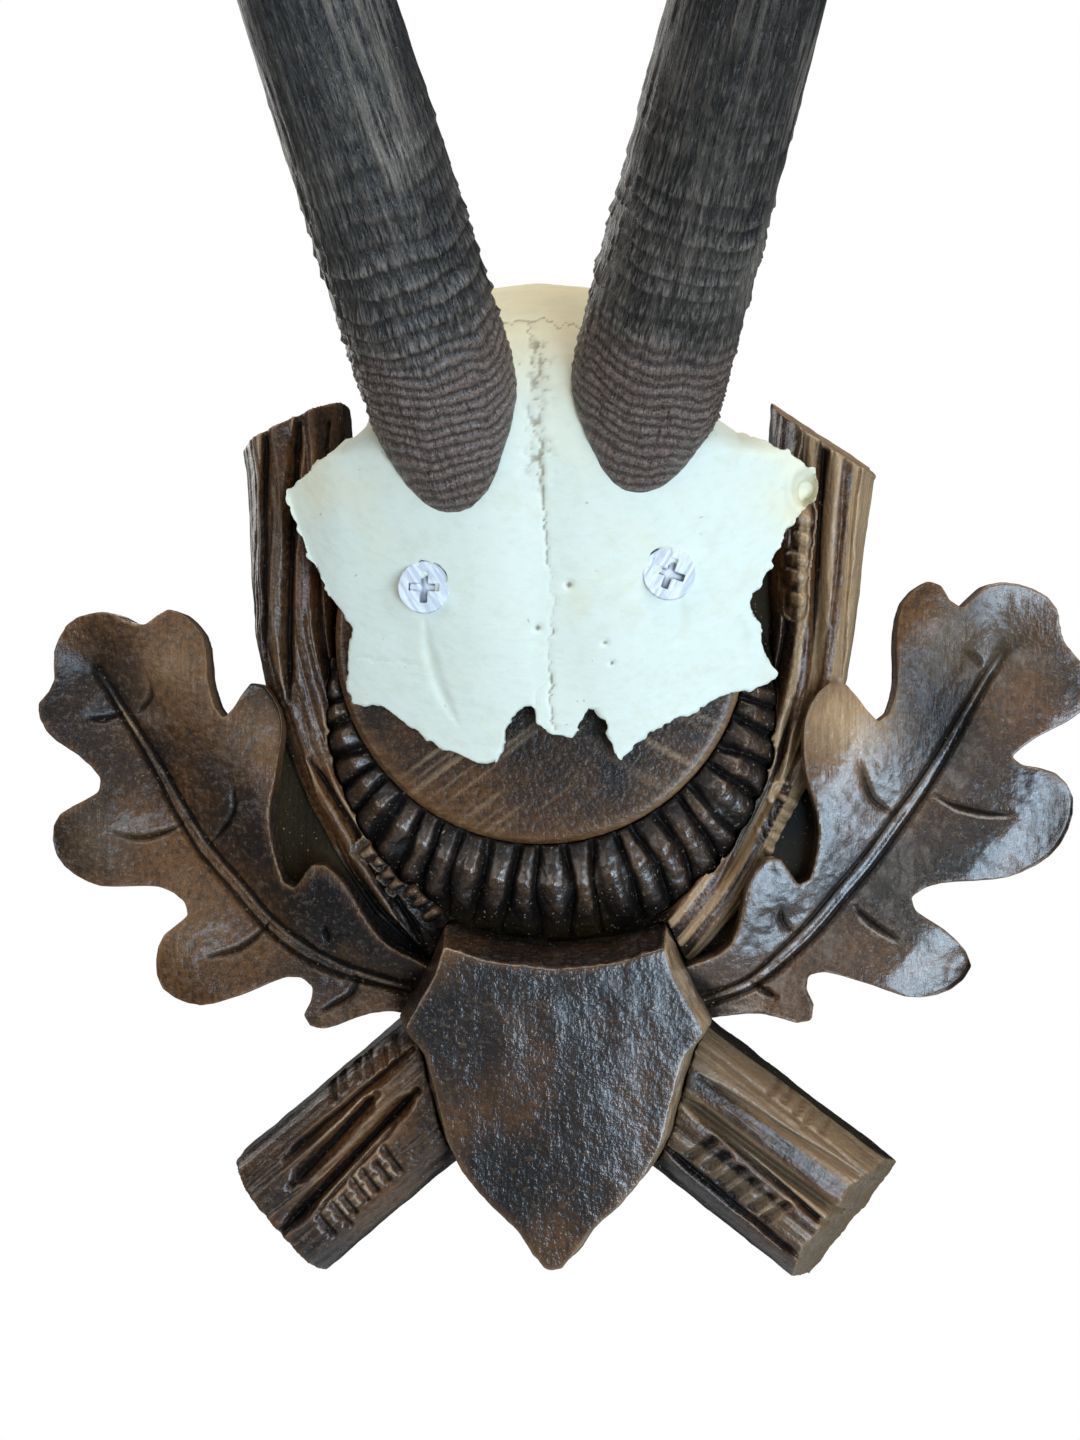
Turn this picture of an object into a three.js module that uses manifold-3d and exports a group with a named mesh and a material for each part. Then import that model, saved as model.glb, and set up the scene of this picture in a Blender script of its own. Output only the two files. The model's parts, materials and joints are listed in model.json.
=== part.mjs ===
// Chamois skull cap with both horns, screwed to a carved wooden wall plaque.
// Millimetres, +Z up. The plaque's flat back lies on the wall plane Y = 0 and the front faces -Y.
// Depth means distance in front of the wall, so a point at depth d has Y = -d.

import * as THREE from "three";
import { mergeVertices } from "three/addons/utils/BufferGeometryUtils.js";
import Module from "manifold-3d";

const wasm = await Module();
wasm.setup();

// Clearance kept between pieces that touch
const GAP = 0.3;

// Plaque: ground board, round medallion and gadrooned border. Centres are [x, z].
const BOARD_CENTRE = [-2, -5];
const BOARD_RADIUS = 47.5;
const BOARD_DEPTH = 10;
// Ground between the medallion, the branches and the leaves, which hide its edge
const GROUND = [
  [-52, 22], [-57, 0], [-62, -18], [-64, -40], [-60, -56], [-50, -66], [-38, -73], [-25, -78],
  [25, -78], [38, -73], [48, -64], [57, -54], [60, -41], [58, -27], [57, -18], [54, 0], [50, 22],
];
const MEDALLION_CENTRE = [-3, 0];
const MEDALLION_RADIUS = 44;
const MEDALLION_DEPTH = 22;
const MEDALLION_EDGE = 1.4;
const BORDER_CENTRE = [-1, -16];
const BORDER_RADIUS = 49.5;
const BORDER_INNER_DEPTH = 20.5;
const BORDER_OUTER_DEPTH = 14;
const BORDER_THINNEST = 1.5;
const GADROON_PITCH = 360 / 54;
const GADROON_RELIEF = 1.8;

// Shield: half outline as [half width, z], mirrored about SHIELD_X
const SHIELD_X = 0.5;
const SHIELD_DEPTH = 32;
const SHIELD_SHOULDER_DEPTH = 20;
const SHIELD_BEVEL = 2.5;
const SHIELD_HALF = [
  [0, -66], [13, -64.5], [23.5, -61.5], [27, -69], [33.5, -81], [29, -87.5], [26.5, -97],
  [24.5, -105], [21, -112], [15, -119], [9, -124.5], [6, -129], [2.5, -132.5],
];

// Branches: half-round fluted bars with flat backs. Upper ends stand beside the skull and run down
// round the border; lower ends stick out below the shield. Points are [x, z].
const FLUTES = 4;
const FLUTE_DEPTH = 1.6;
const BRANCH_SIDE = 0.55;
const UPPER_BRANCHES = {
  left: {
    path: [[-58.3, 48.5], [-56.7, 28], [-57.3, 2], [-52, -22], [-42.5, -43], [-34, -56], [-20, -70]],
    widths: [23, 22, 18.5, 17, 17, 17, 16],
    crowns: [22, 22, 20, 16, 15, 15, 14],
    endSkew: -4.5,
    endSlant: 0.1,
  },
  right: {
    path: [[59, 46.5], [57, 26], [56, 4], [52.5, -18], [43.5, -38], [35, -54], [22, -70]],
    widths: [23.5, 21.5, 18.5, 17, 17, 17, 16],
    crowns: [22, 22, 20, 16, 15, 15, 14],
    endSkew: 6.5,
    endSlant: 0.32,
  },
};
const LOWER_BRANCHES = {
  left: {
    path: [[-12, -85.5], [-36, -105.8], [-61.5, -127.4]],
    widths: [31, 31, 31],
    crowns: [22, 23, 23],
    endSkew: 0,
    endSlant: 0.1,
  },
  right: {
    path: [[12, -87.6], [38, -107.4], [66.5, -129.2]],
    widths: [31.5, 32, 32.5],
    crowns: [22, 23, 23],
    endSkew: 0,
    endSlant: 0.53,
  },
};

// Oak leaves: outlines [x, z] from the lower side of the stalk round the lobes and back to it
const LEAF_THICKNESS = 7;
const LEAF_VALLEY_DEPTH = 15.5;
const LEAF_RISE = 6;
const LEAF_RISE_WIDTH = 20;
const LEAF_OUTLINE_STEPS = 112;
const LEAF_GRID = 6;
const MIDRIB_WIDTH = 2.4;
const MIDRIB_HEIGHT = 1.2;
const LEAVES = {
  left: {
    outline: [
      [-28, -81], [-39, -80.5], [-50, -84], [-54, -82], [-52, -76], [-56, -73],
      [-68, -77], [-77, -79], [-85, -75], [-85, -65], [-79, -59],
      [-84, -54], [-100, -53], [-108, -47], [-108, -39], [-98, -32],
      [-101, -27], [-110, -20], [-112, -14], [-109, -10], [-109, -3], [-105, 4], [-97, 6],
      [-89, 3], [-83, 6.5], [-76, 1], [-74, -11], [-71, -17],
      [-64.5, -9], [-59, -16], [-59.5, -27], [-61, -40], [-57, -54],
      [-51, -48], [-46, -51], [-36, -66], [-25, -73],
    ],
    midrib: [[-99, -6], [-85, -28], [-76, -42], [-68, -54], [-57, -64], [-46, -71], [-33, -75]],
  },
  right: {
    outline: [
      [28, -81.5], [44, -80], [54, -81.5], [55, -77], [53, -73], [56, -71],
      [66, -73], [76, -76], [84, -74], [88, -69], [84, -63], [75, -56],
      [79, -52.5], [97, -50], [106, -44], [109, -34], [105, -28.5], [96, -26],
      [100, -22], [111, -15], [112, -8], [107, -1], [105, 7], [98, 11], [91, 11],
      [85, 6], [80, 12], [74, 8], [72, 0], [72, -11], [69, -18],
      [60, -9], [54, -15], [53, -27], [56, -41], [53, -53],
      [47, -46], [42, -50], [37, -66], [26, -72],
    ],
    midrib: [[95, -1], [81, -26], [74, -36], [68, -46], [60, -54], [52, -63], [44, -69], [33, -77]],
  },
};

// Skull cap: broken outline [x, z], then the lie of its surface
const SKULL_OUTLINE = [
  [-54, 29], [-45, 35], [-37, 40.5],
  [-34, 50], [-27, 63], [-16, 70.5], [-3, 72.5], [10, 70.5], [22, 63], [30, 51],
  [34, 42], [44, 37], [50, 34.5], [54, 30], [54, 26.5], [49, 24],
  [46, 17], [43, 11], [40, 7], [42, 3], [44, -5], [46, -8.5],
  [45, -10.5], [38, -11.5], [30, -15], [23, -19], [19, -20.5], [15, -25.5], [13, -25.5],
  [11, -18], [10, -15], [8, -15], [5, -20.5], [0, -21], [-3, -18], [-4, -14.5], [-6, -14.5],
  [-9, -19], [-11, -25.5], [-16, -26.5], [-23, -23.5], [-29, -19.5], [-37, -14], [-42.5, -14.5],
  [-43, -6], [-41, 2], [-45, 7], [-48, 13], [-50.5, 18], [-53, 26],
];
const SKULL_MIDLINE_FOOT = [1, -19];
const SKULL_ROLL = 2.8;
const SKULL_CREST = [
  [-28, 29], [-10, 36], [10, 44], [25, 49], [38, 53], [50, 51], [58, 47.5], [65, 42], [71, 34], [75, 26],
];
const BROW_HALF_WIDTH = 46;
const BROW_FALL = 9;
const DOME_HALF_WIDTH = 39;
const DOME_FOOT_DEPTH = 24;
const DOME_STARTS = 34;
const DOME_FULL = 48;
const BONE_THICKNESS = 4;
const BRAIN_CASE_CENTRE = [-2, 40];
const BRAIN_CASE_RADII = [30, 32];
const SKULL_GRID = 4.6;

// Horns: axis foot on the skull, then forward tilt that stays straight and turns back into the hook
const HORN_LENGTH = 225;
const HORN_ROOT = 24;
const HORN_TILT = 45;
const HORN_HOOK_TURN = 210;
const HORN_HOOK_STARTS = 88;
const HORN_HOOK_ENDS = 234;
const HORN_BASE_DIAMETER = 29.8;
const HORN_TIP_DIAMETER = 1.6;
const HORN_SIDES = 14;
const HORN_STEP = 7;
const ANNULUS_PITCH = 5;
const ANNULUS_RELIEF = 0.45;
const ANNULI_END = 62;
const HORN_FEET = {
  left: { x: -19.9, z: 44.6, lean: -11 },
  right: { x: 18.6, z: 45.6, lean: 12.1 },
};

// Screws that hold the cap: flat heads with a cross recess
const SCREW_HEAD_RADIUS = 5.15;
const SCREW_HEAD_HEIGHT = 1.9;
const SCREW_SHANK_RADIUS = 2;
const SCREW_BITE = 8;
const CROSS_LENGTH = 5.4;
const CROSS_WIDTH = 1.4;
const CROSS_DEPTH = 1.1;
const SCREWS = {
  left: { x: -25, z: 9, turn: 2 },
  right: { x: 23.8, z: 11.4, turn: 20 },
};

const BONE = new THREE.MeshStandardMaterial({ color: 0xe9e8d8, roughness: 0.55, metalness: 0 });
const HORN = new THREE.MeshStandardMaterial({ color: 0x2b2523, roughness: 0.6, metalness: 0 });
const WOOD = new THREE.MeshStandardMaterial({ color: 0x3a241a, roughness: 0.45, metalness: 0 });
const PAINTED_STEEL = new THREE.MeshStandardMaterial({ color: 0xdcdfee, roughness: 0.5, metalness: 0.2 });

const { clamp, degToRad, lerp, smoothstep } = THREE.MathUtils;

// Value at x of the line through [x, value] stops
function along(stops, x) {
  const last = stops.length - 1;
  const next = clamp(stops.findIndex(([place]) => place > x), 1, last);
  const upper = x >= stops[last][0] ? last : next;
  const [x0, value0] = stops[upper - 1];
  const [x1, value1] = stops[upper];
  return lerp(value0, value1, clamp((x - x0) / (x1 - x0), 0, 1));
}

function distanceToRoute(route, x, z) {
  const place = new THREE.Vector3(x, 0, z);
  const nearest = new THREE.Vector3();
  let best = Infinity;
  for (let i = 0; i + 1 < route.length; i++) {
    const from = new THREE.Vector3(route[i][0], 0, route[i][1]);
    const to = new THREE.Vector3(route[i + 1][0], 0, route[i + 1][1]);
    new THREE.Line3(from, to).closestPointToPoint(place, true, nearest);
    best = Math.min(best, nearest.distanceTo(place));
  }
  return best;
}

// Closed geometry from points and triangles, turned so that its faces point outwards
function closedGeometry(points, triangles) {
  const volume = triangles.reduce((sum, [a, b, c]) => {
    const normal = new THREE.Vector3().crossVectors(points[b], points[c]);
    return sum + points[a].dot(normal);
  }, 0);
  const outward = volume > 0 ? triangles : triangles.map(([a, b, c]) => [a, c, b]);
  const geometry = new THREE.BufferGeometry().setFromPoints(points);
  geometry.setIndex(outward.flat());
  return geometry;
}

// Closed skin over rings of equal count, with a fan over each end
function loft(rings) {
  const sides = rings[0].length;
  const points = rings.flat();
  const triangles = [];
  for (let ring = 0; ring + 1 < rings.length; ring++) {
    for (let side = 0; side < sides; side++) {
      const a = ring * sides + side;
      const b = ring * sides + (side + 1) % sides;
      triangles.push([a, b, b + sides], [a, b + sides, a + sides]);
    }
  }
  const fan = (ring, turn) => {
    const centre = rings[ring].reduce((sum, point) => sum.add(point), new THREE.Vector3());
    const hub = points.push(centre.divideScalar(sides)) - 1;
    for (let side = 0; side < sides; side++) {
      const a = ring * sides + side;
      const b = ring * sides + (side + 1) % sides;
      triangles.push(turn ? [hub, b, a] : [hub, a, b]);
    }
  };
  fan(0, true);
  fan(rings.length - 1, false);
  return closedGeometry(points, triangles);
}

// Closed block between two surfaces given as depth over x and z
function relief([x0, x1], [z0, z1], step, front, back) {
  const columns = Math.ceil((x1 - x0) / step);
  const rows = Math.ceil((z1 - z0) / step);
  const points = [];
  for (const surface of [front, back]) {
    for (let row = 0; row <= rows; row++) {
      for (let column = 0; column <= columns; column++) {
        const x = lerp(x0, x1, column / columns);
        const z = lerp(z0, z1, row / rows);
        points.push(new THREE.Vector3(x, -surface(x, z), z));
      }
    }
  }
  const layer = (rows + 1) * (columns + 1);
  const at = (column, row) => row * (columns + 1) + column;
  const triangles = [];
  for (let row = 0; row < rows; row++) {
    for (let column = 0; column < columns; column++) {
      const corners = [at(column, row), at(column + 1, row), at(column + 1, row + 1), at(column, row + 1)];
      const [a, b, c, d] = corners;
      const [e, f, g, h] = corners.map((corner) => corner + layer);
      triangles.push([a, b, c], [a, c, d], [e, g, f], [e, h, g]);
    }
  }
  const wall = (a, b) => triangles.push([b, a, a + layer], [b, a + layer, b + layer]);
  for (let column = 0; column < columns; column++) {
    wall(at(column, 0), at(column + 1, 0));
    wall(at(column + 1, rows), at(column, rows));
  }
  for (let row = 0; row < rows; row++) {
    wall(at(columns, row), at(columns, row + 1));
    wall(at(0, row + 1), at(0, row));
  }
  return closedGeometry(points, triangles);
}

// Straight-sided block of an [x, z] outline between two depths
function prism(outline, near, far) {
  const shape = new THREE.Shape(outline.map(([x, z]) => new THREE.Vector2(x, z)));
  const block = new THREE.ExtrudeGeometry(shape, { depth: far - near, bevelEnabled: false });
  return block.rotateX(Math.PI / 2).translate(0, -near, 0);
}

// Round bar along Y between two depths
function bar(x, z, radius, near, far, sides) {
  const round = new THREE.CylinderGeometry(radius, radius, far - near, sides);
  return round.translate(x, -(near + far) / 2, z);
}

// Outline moved outwards by a distance; it runs clockwise or anticlockwise
function grown(outline, distance) {
  const turn = Math.sign(THREE.ShapeUtils.area(outline.map(([x, y]) => ({ x, y }))));
  return outline.map((point, i) => {
    const [x0, z0] = outline.at(i - 1);
    const [x1, z1] = outline[(i + 1) % outline.length];
    const along = new THREE.Vector2(x1 - x0, z1 - z0).normalize();
    return [point[0] + turn * distance * along.y, point[1] - turn * distance * along.x];
  });
}

function smoothOutline(outline, steps) {
  const knots = outline.map(([x, z]) => new THREE.Vector3(x, z, 0));
  const curve = new THREE.CatmullRomCurve3(knots, true, "centripetal");
  return curve.getSpacedPoints(steps).slice(0, -1).map(({ x, y }) => [x, y]);
}

function toSolid(geometry) {
  const bare = new THREE.BufferGeometry();
  bare.setAttribute("position", geometry.getAttribute("position"));
  bare.setIndex(geometry.index);
  const merged = mergeVertices(bare);
  const vertProperties = merged.getAttribute("position").array;
  const triVerts = Uint32Array.from(merged.index.array);
  return new wasm.Manifold(new wasm.Mesh({ numProp: 3, vertProperties, triVerts }));
}

// Largest body of a solid, as a geometry
function toGeometry(solid) {
  const bodies = solid.decompose().sort((a, b) => b.volume() - a.volume());
  const mesh = bodies[0].getMesh();
  const geometry = new THREE.BufferGeometry();
  geometry.setAttribute("position", new THREE.BufferAttribute(Float32Array.from(mesh.vertProperties), 3));
  geometry.setIndex(new THREE.BufferAttribute(Uint32Array.from(mesh.triVerts), 1));
  geometry.computeVertexNormals();
  return geometry;
}

function cutBy(solid, cutters) {
  return cutters.reduce((rest, cutter) => rest.subtract(cutter), solid);
}

// Height of the bone in front of the wall
function skullDepth(x, z) {
  const [footX, footZ] = SKULL_MIDLINE_FOOT;
  const offside = x - footX + (z - footZ) * Math.tan(degToRad(SKULL_ROLL));
  const crest = along(SKULL_CREST, z);
  const brow = crest - BROW_FALL * (offside / BROW_HALF_WIDTH) ** 2;
  const round = Math.sqrt(Math.max(0, 1 - (offside / DOME_HALF_WIDTH) ** 2));
  const dome = DOME_FOOT_DEPTH + (crest - DOME_FOOT_DEPTH) * round;
  return lerp(brow, dome, smoothstep(z, DOME_STARTS, DOME_FULL));
}

// Inner side of the bone: a thin plate over the orbits and nose, filled behind the horns
function skullBack(x, z) {
  const [centreX, centreZ] = BRAIN_CASE_CENTRE;
  const [radiusX, radiusZ] = BRAIN_CASE_RADII;
  const reach = Math.hypot((x - centreX) / radiusX, (z - centreZ) / radiusZ);
  const seat = MEDALLION_DEPTH + GAP;
  const plate = Math.max(seat, skullDepth(x, z) - BONE_THICKNESS);
  return lerp(seat, plate, smoothstep(reach, 0.8, 1.1));
}

// Block over the whole skull, on one grid, so that what is cut by it fits the bone
function skullBlock(front, back) {
  const xs = SKULL_OUTLINE.map(([x]) => x);
  const zs = SKULL_OUTLINE.map(([, z]) => z);
  const spanX = [Math.min(...xs) - 1, Math.max(...xs) + 1];
  const spanZ = [Math.min(...zs) - 1, Math.max(...zs) + 1];
  return toSolid(relief(spanX, spanZ, SKULL_GRID, front, back));
}

function skullFront(x, z) {
  return Math.max(skullDepth(x, z), MEDALLION_DEPTH + 2 * GAP);
}

function skullCap() {
  const block = skullBlock(skullFront, skullBack);
  const cap = block.intersect(toSolid(prism(SKULL_OUTLINE, 0, 2 * SHIELD_DEPTH)));
  const seats = Object.values(SCREWS).map(({ x, z }) => {
    const seat = screwSeat(x, z);
    const hole = toSolid(bar(x, z, SCREW_SHANK_RADIUS + GAP, 0, seat + 1, 12));
    return hole.add(toSolid(bar(x, z, SCREW_HEAD_RADIUS + GAP, seat, seat + 10, 24)));
  });
  return toGeometry(cutBy(cap, seats));
}

// Depth at which a screw head bears on the bone
function screwSeat(x, z) {
  return skullDepth(x, z) - 0.9;
}

function screw({ x, z, turn }) {
  const seat = screwSeat(x, z) + GAP;
  const face = seat + SCREW_HEAD_HEIGHT;
  const tip = MEDALLION_DEPTH - SCREW_BITE;
  const profile = [
    [0, tip], [SCREW_SHANK_RADIUS, tip + 2], [SCREW_SHANK_RADIUS, seat],
    [SCREW_HEAD_RADIUS, seat], [SCREW_HEAD_RADIUS, face - 0.5], [SCREW_HEAD_RADIUS - 0.5, face], [0, face],
  ];
  const turned = new THREE.LatheGeometry(profile.map(([r, d]) => new THREE.Vector2(r, d)), 24);
  const body = toSolid(turned.rotateX(Math.PI).translate(x, 0, z));
  const slots = [0, 90].map((angle) => {
    const slot = new THREE.BoxGeometry(CROSS_LENGTH, 2 * CROSS_DEPTH, CROSS_WIDTH);
    return toSolid(slot.rotateY(degToRad(angle + turn)).translate(x, -face, z));
  });
  return toGeometry(cutBy(body, slots));
}

// Rings square to the horn's axis, from inside the skull to the tip
function hornRings({ x, z, lean }) {
  const lateral = degToRad(lean);
  const tiltAt = (s) => degToRad(HORN_TILT - HORN_HOOK_TURN * smoothstep(s, HORN_HOOK_STARTS, HORN_HOOK_ENDS));
  const heading = (s) => new THREE.Vector3(
    Math.sin(lateral),
    -Math.sin(tiltAt(s)) * Math.cos(lateral),
    Math.cos(tiltAt(s)) * Math.cos(lateral),
  );
  const across = new THREE.Vector3(Math.cos(lateral), 0, -Math.sin(lateral));
  const centre = new THREE.Vector3(x, -skullDepth(x, z), z).addScaledVector(heading(0), -HORN_ROOT);
  const rings = [];
  let s = -HORN_ROOT;
  while (s < HORN_LENGTH) {
    rings.push(hornRing(centre, heading(s), across, hornRadius(s)));
    const step = s < ANNULI_END ? ANNULUS_PITCH / 2 : HORN_STEP;
    centre.addScaledVector(heading(s + step / 2), step);
    s += step;
  }
  return rings;
}

function hornRing(centre, heading, across, radius) {
  const side = across.clone().addScaledVector(heading, -across.dot(heading)).normalize();
  const rise = new THREE.Vector3().crossVectors(heading, side);
  return Array.from({ length: HORN_SIDES }, (_, i) => {
    const angle = 2 * Math.PI * i / HORN_SIDES;
    const point = centre.clone().addScaledVector(side, radius * Math.cos(angle));
    return point.addScaledVector(rise, radius * Math.sin(angle));
  });
}

function hornRadius(s) {
  const reach = clamp(s / HORN_LENGTH, 0, 1);
  const taper = 1 - 0.52 * reach - 0.48 * reach ** 3;
  const crest = Math.cos(2 * Math.PI * s / ANNULUS_PITCH);
  const ridge = ANNULUS_RELIEF * crest * smoothstep(ANNULI_END - s, 0, ANNULI_END / 2);
  return lerp(HORN_TIP_DIAMETER, HORN_BASE_DIAMETER, taper) / 2 + ridge;
}

function horn(foot) {
  const bone = skullBlock((x, z) => skullFront(x, z) + GAP, () => 0);
  return toGeometry(toSolid(loft(hornRings(foot))).subtract(bone));
}

function boardOutlineSolid(extra) {
  const tongue = SHIELD_HALF.slice(2).map(([half, z]) => [half - 9 + extra, z + 6 - extra]);
  const inside = tongue.filter(([half]) => half > 0);
  const [topHalf] = inside[0];
  const right = [[topHalf, BOARD_CENTRE[1]], ...inside].map(([half, z]) => [SHIELD_X + half, z]);
  const left = right.map(([x, z]) => [2 * SHIELD_X - x, z]).reverse();
  const [x, z] = BOARD_CENTRE;
  const disc = toSolid(bar(x, z, BOARD_RADIUS + extra, 0, BOARD_DEPTH + extra, 48));
  const ground = toSolid(prism(grown(GROUND, extra), 0, BOARD_DEPTH + extra));
  return disc.add(ground).add(toSolid(prism([...right, ...left], 0, BOARD_DEPTH + extra)));
}

function medallionBody(extra) {
  const radius = MEDALLION_RADIUS + extra;
  const [near, far] = [BOARD_DEPTH + GAP, MEDALLION_DEPTH];
  const profile = [
    [0, near - extra], [radius, near - extra], [radius, far - MEDALLION_EDGE],
    [radius - MEDALLION_EDGE, far + extra], [0, far + extra],
  ];
  const turned = new THREE.LatheGeometry(profile.map(([r, d]) => new THREE.Vector2(r, d)), 60);
  return toSolid(turned.rotateX(Math.PI).translate(MEDALLION_CENTRE[0], 0, MEDALLION_CENTRE[1]));
}

function medallion() {
  const [near, far] = [MEDALLION_DEPTH - SCREW_BITE - GAP, MEDALLION_DEPTH + 1];
  const holes = Object.values(SCREWS).map(({ x, z }) => {
    return toSolid(bar(x, z, SCREW_SHANK_RADIUS + GAP, near, far, 12));
  });
  return toGeometry(cutBy(medallionBody(0), holes));
}

// Distance from the medallion's centre to the border's outer edge, in a direction
function borderReach(angle) {
  const dx = BORDER_CENTRE[0] - MEDALLION_CENTRE[0];
  const dz = BORDER_CENTRE[1] - MEDALLION_CENTRE[1];
  const forward = dx * Math.cos(angle) + dz * Math.sin(angle);
  const aside = dz * Math.cos(angle) - dx * Math.sin(angle);
  return forward + Math.sqrt(BORDER_RADIUS ** 2 - aside ** 2);
}

// Crescent of radial gadroons below the medallion, widest at the bottom
function borderBody(extra) {
  const inner = MEDALLION_RADIUS + GAP - extra;
  const near = BOARD_DEPTH + GAP - extra;
  const step = degToRad(GADROON_PITCH / 4);
  const rings = [];
  for (let angle = -Math.PI * 1.5; angle < Math.PI * 0.5; angle += step) {
    const outer = borderReach(angle) + extra;
    if (outer - inner > BORDER_THINNEST + 2 * extra) {
      const swell = extra + GADROON_RELIEF * Math.abs(Math.cos(angle * 180 / GADROON_PITCH));
      const section = [
        [inner, near], [outer, near], [outer, BORDER_OUTER_DEPTH - 2 + extra],
        [lerp(inner, outer, 0.85), BORDER_OUTER_DEPTH + swell],
        [lerp(inner, outer, 0.4), lerp(BORDER_INNER_DEPTH, BORDER_OUTER_DEPTH, 0.3) + swell],
        [inner, BORDER_INNER_DEPTH - GADROON_RELIEF + extra],
      ];
      rings.push(section.map(([reach, depth]) => new THREE.Vector3(
        MEDALLION_CENTRE[0] + reach * Math.cos(angle),
        -depth,
        MEDALLION_CENTRE[1] + reach * Math.sin(angle),
      )));
    }
  }
  return toSolid(loft(rings));
}

function shieldOutline(extra) {
  const right = SHIELD_HALF.slice(1).map(([half, z]) => [SHIELD_X + half, z]);
  const left = right.map(([x, z]) => [2 * SHIELD_X - x, z]).reverse();
  const outline = [[SHIELD_X, SHIELD_HALF[0][1]], ...right, ...left];
  return grown(outline, extra);
}

function shieldBody(extra) {
  const levels = [
    [BOARD_DEPTH + GAP - extra, extra],
    [SHIELD_SHOULDER_DEPTH, extra],
    [SHIELD_DEPTH + extra, extra - SHIELD_BEVEL],
  ];
  const rings = levels.map(([depth, out]) => shieldOutline(out).map(([x, z]) => new THREE.Vector3(x, -depth, z)));
  return toSolid(loft(rings));
}

// Fluted bar with a flat back on the wall, along a route in the wall plane
function branchBody({ path, widths, crowns, endSkew, endSlant }, extra) {
  const route = new THREE.CatmullRomCurve3(path.map(([x, z]) => new THREE.Vector3(x, 0, z)));
  const steps = 2 * (path.length - 1);
  const front = 4 * FLUTES;
  const evenly = (values) => values.map((value, i) => [i / (values.length - 1), value]);
  const rings = [];
  for (let step = 0; step <= steps; step++) {
    const t = step / steps;
    const centre = route.getPoint(t);
    const heading = route.getTangent(t);
    const across = new THREE.Vector3(-heading.z, 0, heading.x);
    const half = along(evenly(widths), t) / 2 + extra;
    const crown = along(evenly(crowns), t);
    const ring = [];
    for (let i = 0; i <= front; i++) {
      const u = 2 * i / front - 1;
      const flute = FLUTE_DEPTH * Math.sin(Math.PI * FLUTES * (u + 1) / 2) ** 2;
      ring.push([u, crown * lerp(1, BRANCH_SIDE, u ** 4) - flute + extra]);
    }
    ring.push([1, 0], [-1, 0]);
    const atEnd = (step === 0 && path[0][1] > 0) || (step === steps && path[0][1] < 0);
    const inward = step === 0 ? 1 : -1;
    rings.push(ring.map(([u, depth]) => {
      const shift = atEnd ? inward * (endSlant * depth + endSkew * u - extra) : 0;
      const point = centre.clone().addScaledVector(across, half * u).addScaledVector(heading, shift);
      return point.setY(-depth);
    }));
  }
  return toSolid(loft(rings));
}

function leafDepth(midrib, x, z) {
  const offside = distanceToRoute(midrib, x, z) / LEAF_RISE_WIDTH;
  return LEAF_VALLEY_DEPTH + LEAF_RISE * Math.sin(Math.min(offside, 1.3) * Math.PI / 2);
}

function leafBody({ outline, midrib }) {
  const edge = smoothOutline(outline, LEAF_OUTLINE_STEPS);
  const xs = edge.map(([x]) => x);
  const zs = edge.map(([, z]) => z);
  const spanX = [Math.min(...xs) - 1, Math.max(...xs) + 1];
  const spanZ = [Math.min(...zs) - 1, Math.max(...zs) + 1];
  const front = (x, z) => leafDepth(midrib, x, z);
  const block = toSolid(relief(spanX, spanZ, LEAF_GRID, front, (x, z) => front(x, z) - LEAF_THICKNESS));
  const blade = block.intersect(toSolid(prism(edge, 0, 2 * SHIELD_DEPTH)));
  return blade.add(midribBody(midrib));
}

// Low ridge along the middle of a leaf, rooted in the blade
function midribBody(midrib) {
  const route = new THREE.CatmullRomCurve3(midrib.map(([x, z]) => new THREE.Vector3(x, 0, z)));
  const steps = 12;
  const rings = [];
  for (let step = 0; step <= steps; step++) {
    const t = step / steps;
    const centre = route.getPoint(t);
    const heading = route.getTangent(t);
    const across = new THREE.Vector3(-heading.z, 0, heading.x);
    const half = MIDRIB_WIDTH / 2 * lerp(0.6, 1, t);
    const crest = LEAF_VALLEY_DEPTH + MIDRIB_HEIGHT;
    const section = [[-half, crest - 4], [-half, crest], [half, crest], [half, crest - 4]];
    rings.push(section.map(([u, depth]) => centre.clone().addScaledVector(across, u).setY(-depth)));
  }
  return toSolid(loft(rings));
}

function addPiece(group, name, geometry, material) {
  const mesh = new THREE.Mesh(geometry, material);
  mesh.name = name;
  group.add(mesh);
}

function buildPlaque() {
  const plaque = new THREE.Group();
  const clearings = [boardOutlineSolid(GAP), medallionBody(GAP), borderBody(GAP), shieldBody(GAP)];
  addPiece(plaque, "back_board", toGeometry(boardOutlineSolid(0)), WOOD);
  addPiece(plaque, "medallion", medallion(), WOOD);
  addPiece(plaque, "medallion_border", toGeometry(borderBody(0).subtract(shieldBody(GAP))), WOOD);
  addPiece(plaque, "shield", toGeometry(shieldBody(0)), WOOD);
  for (const side of ["left", "right"]) {
    const upper = cutBy(branchBody(UPPER_BRANCHES[side], 0), clearings);
    const lowerRoom = [...clearings, branchBody(UPPER_BRANCHES[side], GAP)];
    const lower = cutBy(branchBody(LOWER_BRANCHES[side], 0), lowerRoom);
    const leafRoom = [...lowerRoom, branchBody(LOWER_BRANCHES[side], GAP)];
    const leaf = cutBy(leafBody(LEAVES[side]), leafRoom);
    addPiece(plaque, `branch_upper_${side}`, toGeometry(upper), WOOD);
    addPiece(plaque, `branch_lower_${side}`, toGeometry(lower), WOOD);
    addPiece(plaque, `oak_leaf_${side}`, toGeometry(leaf), WOOD);
  }
  return plaque;
}

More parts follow.
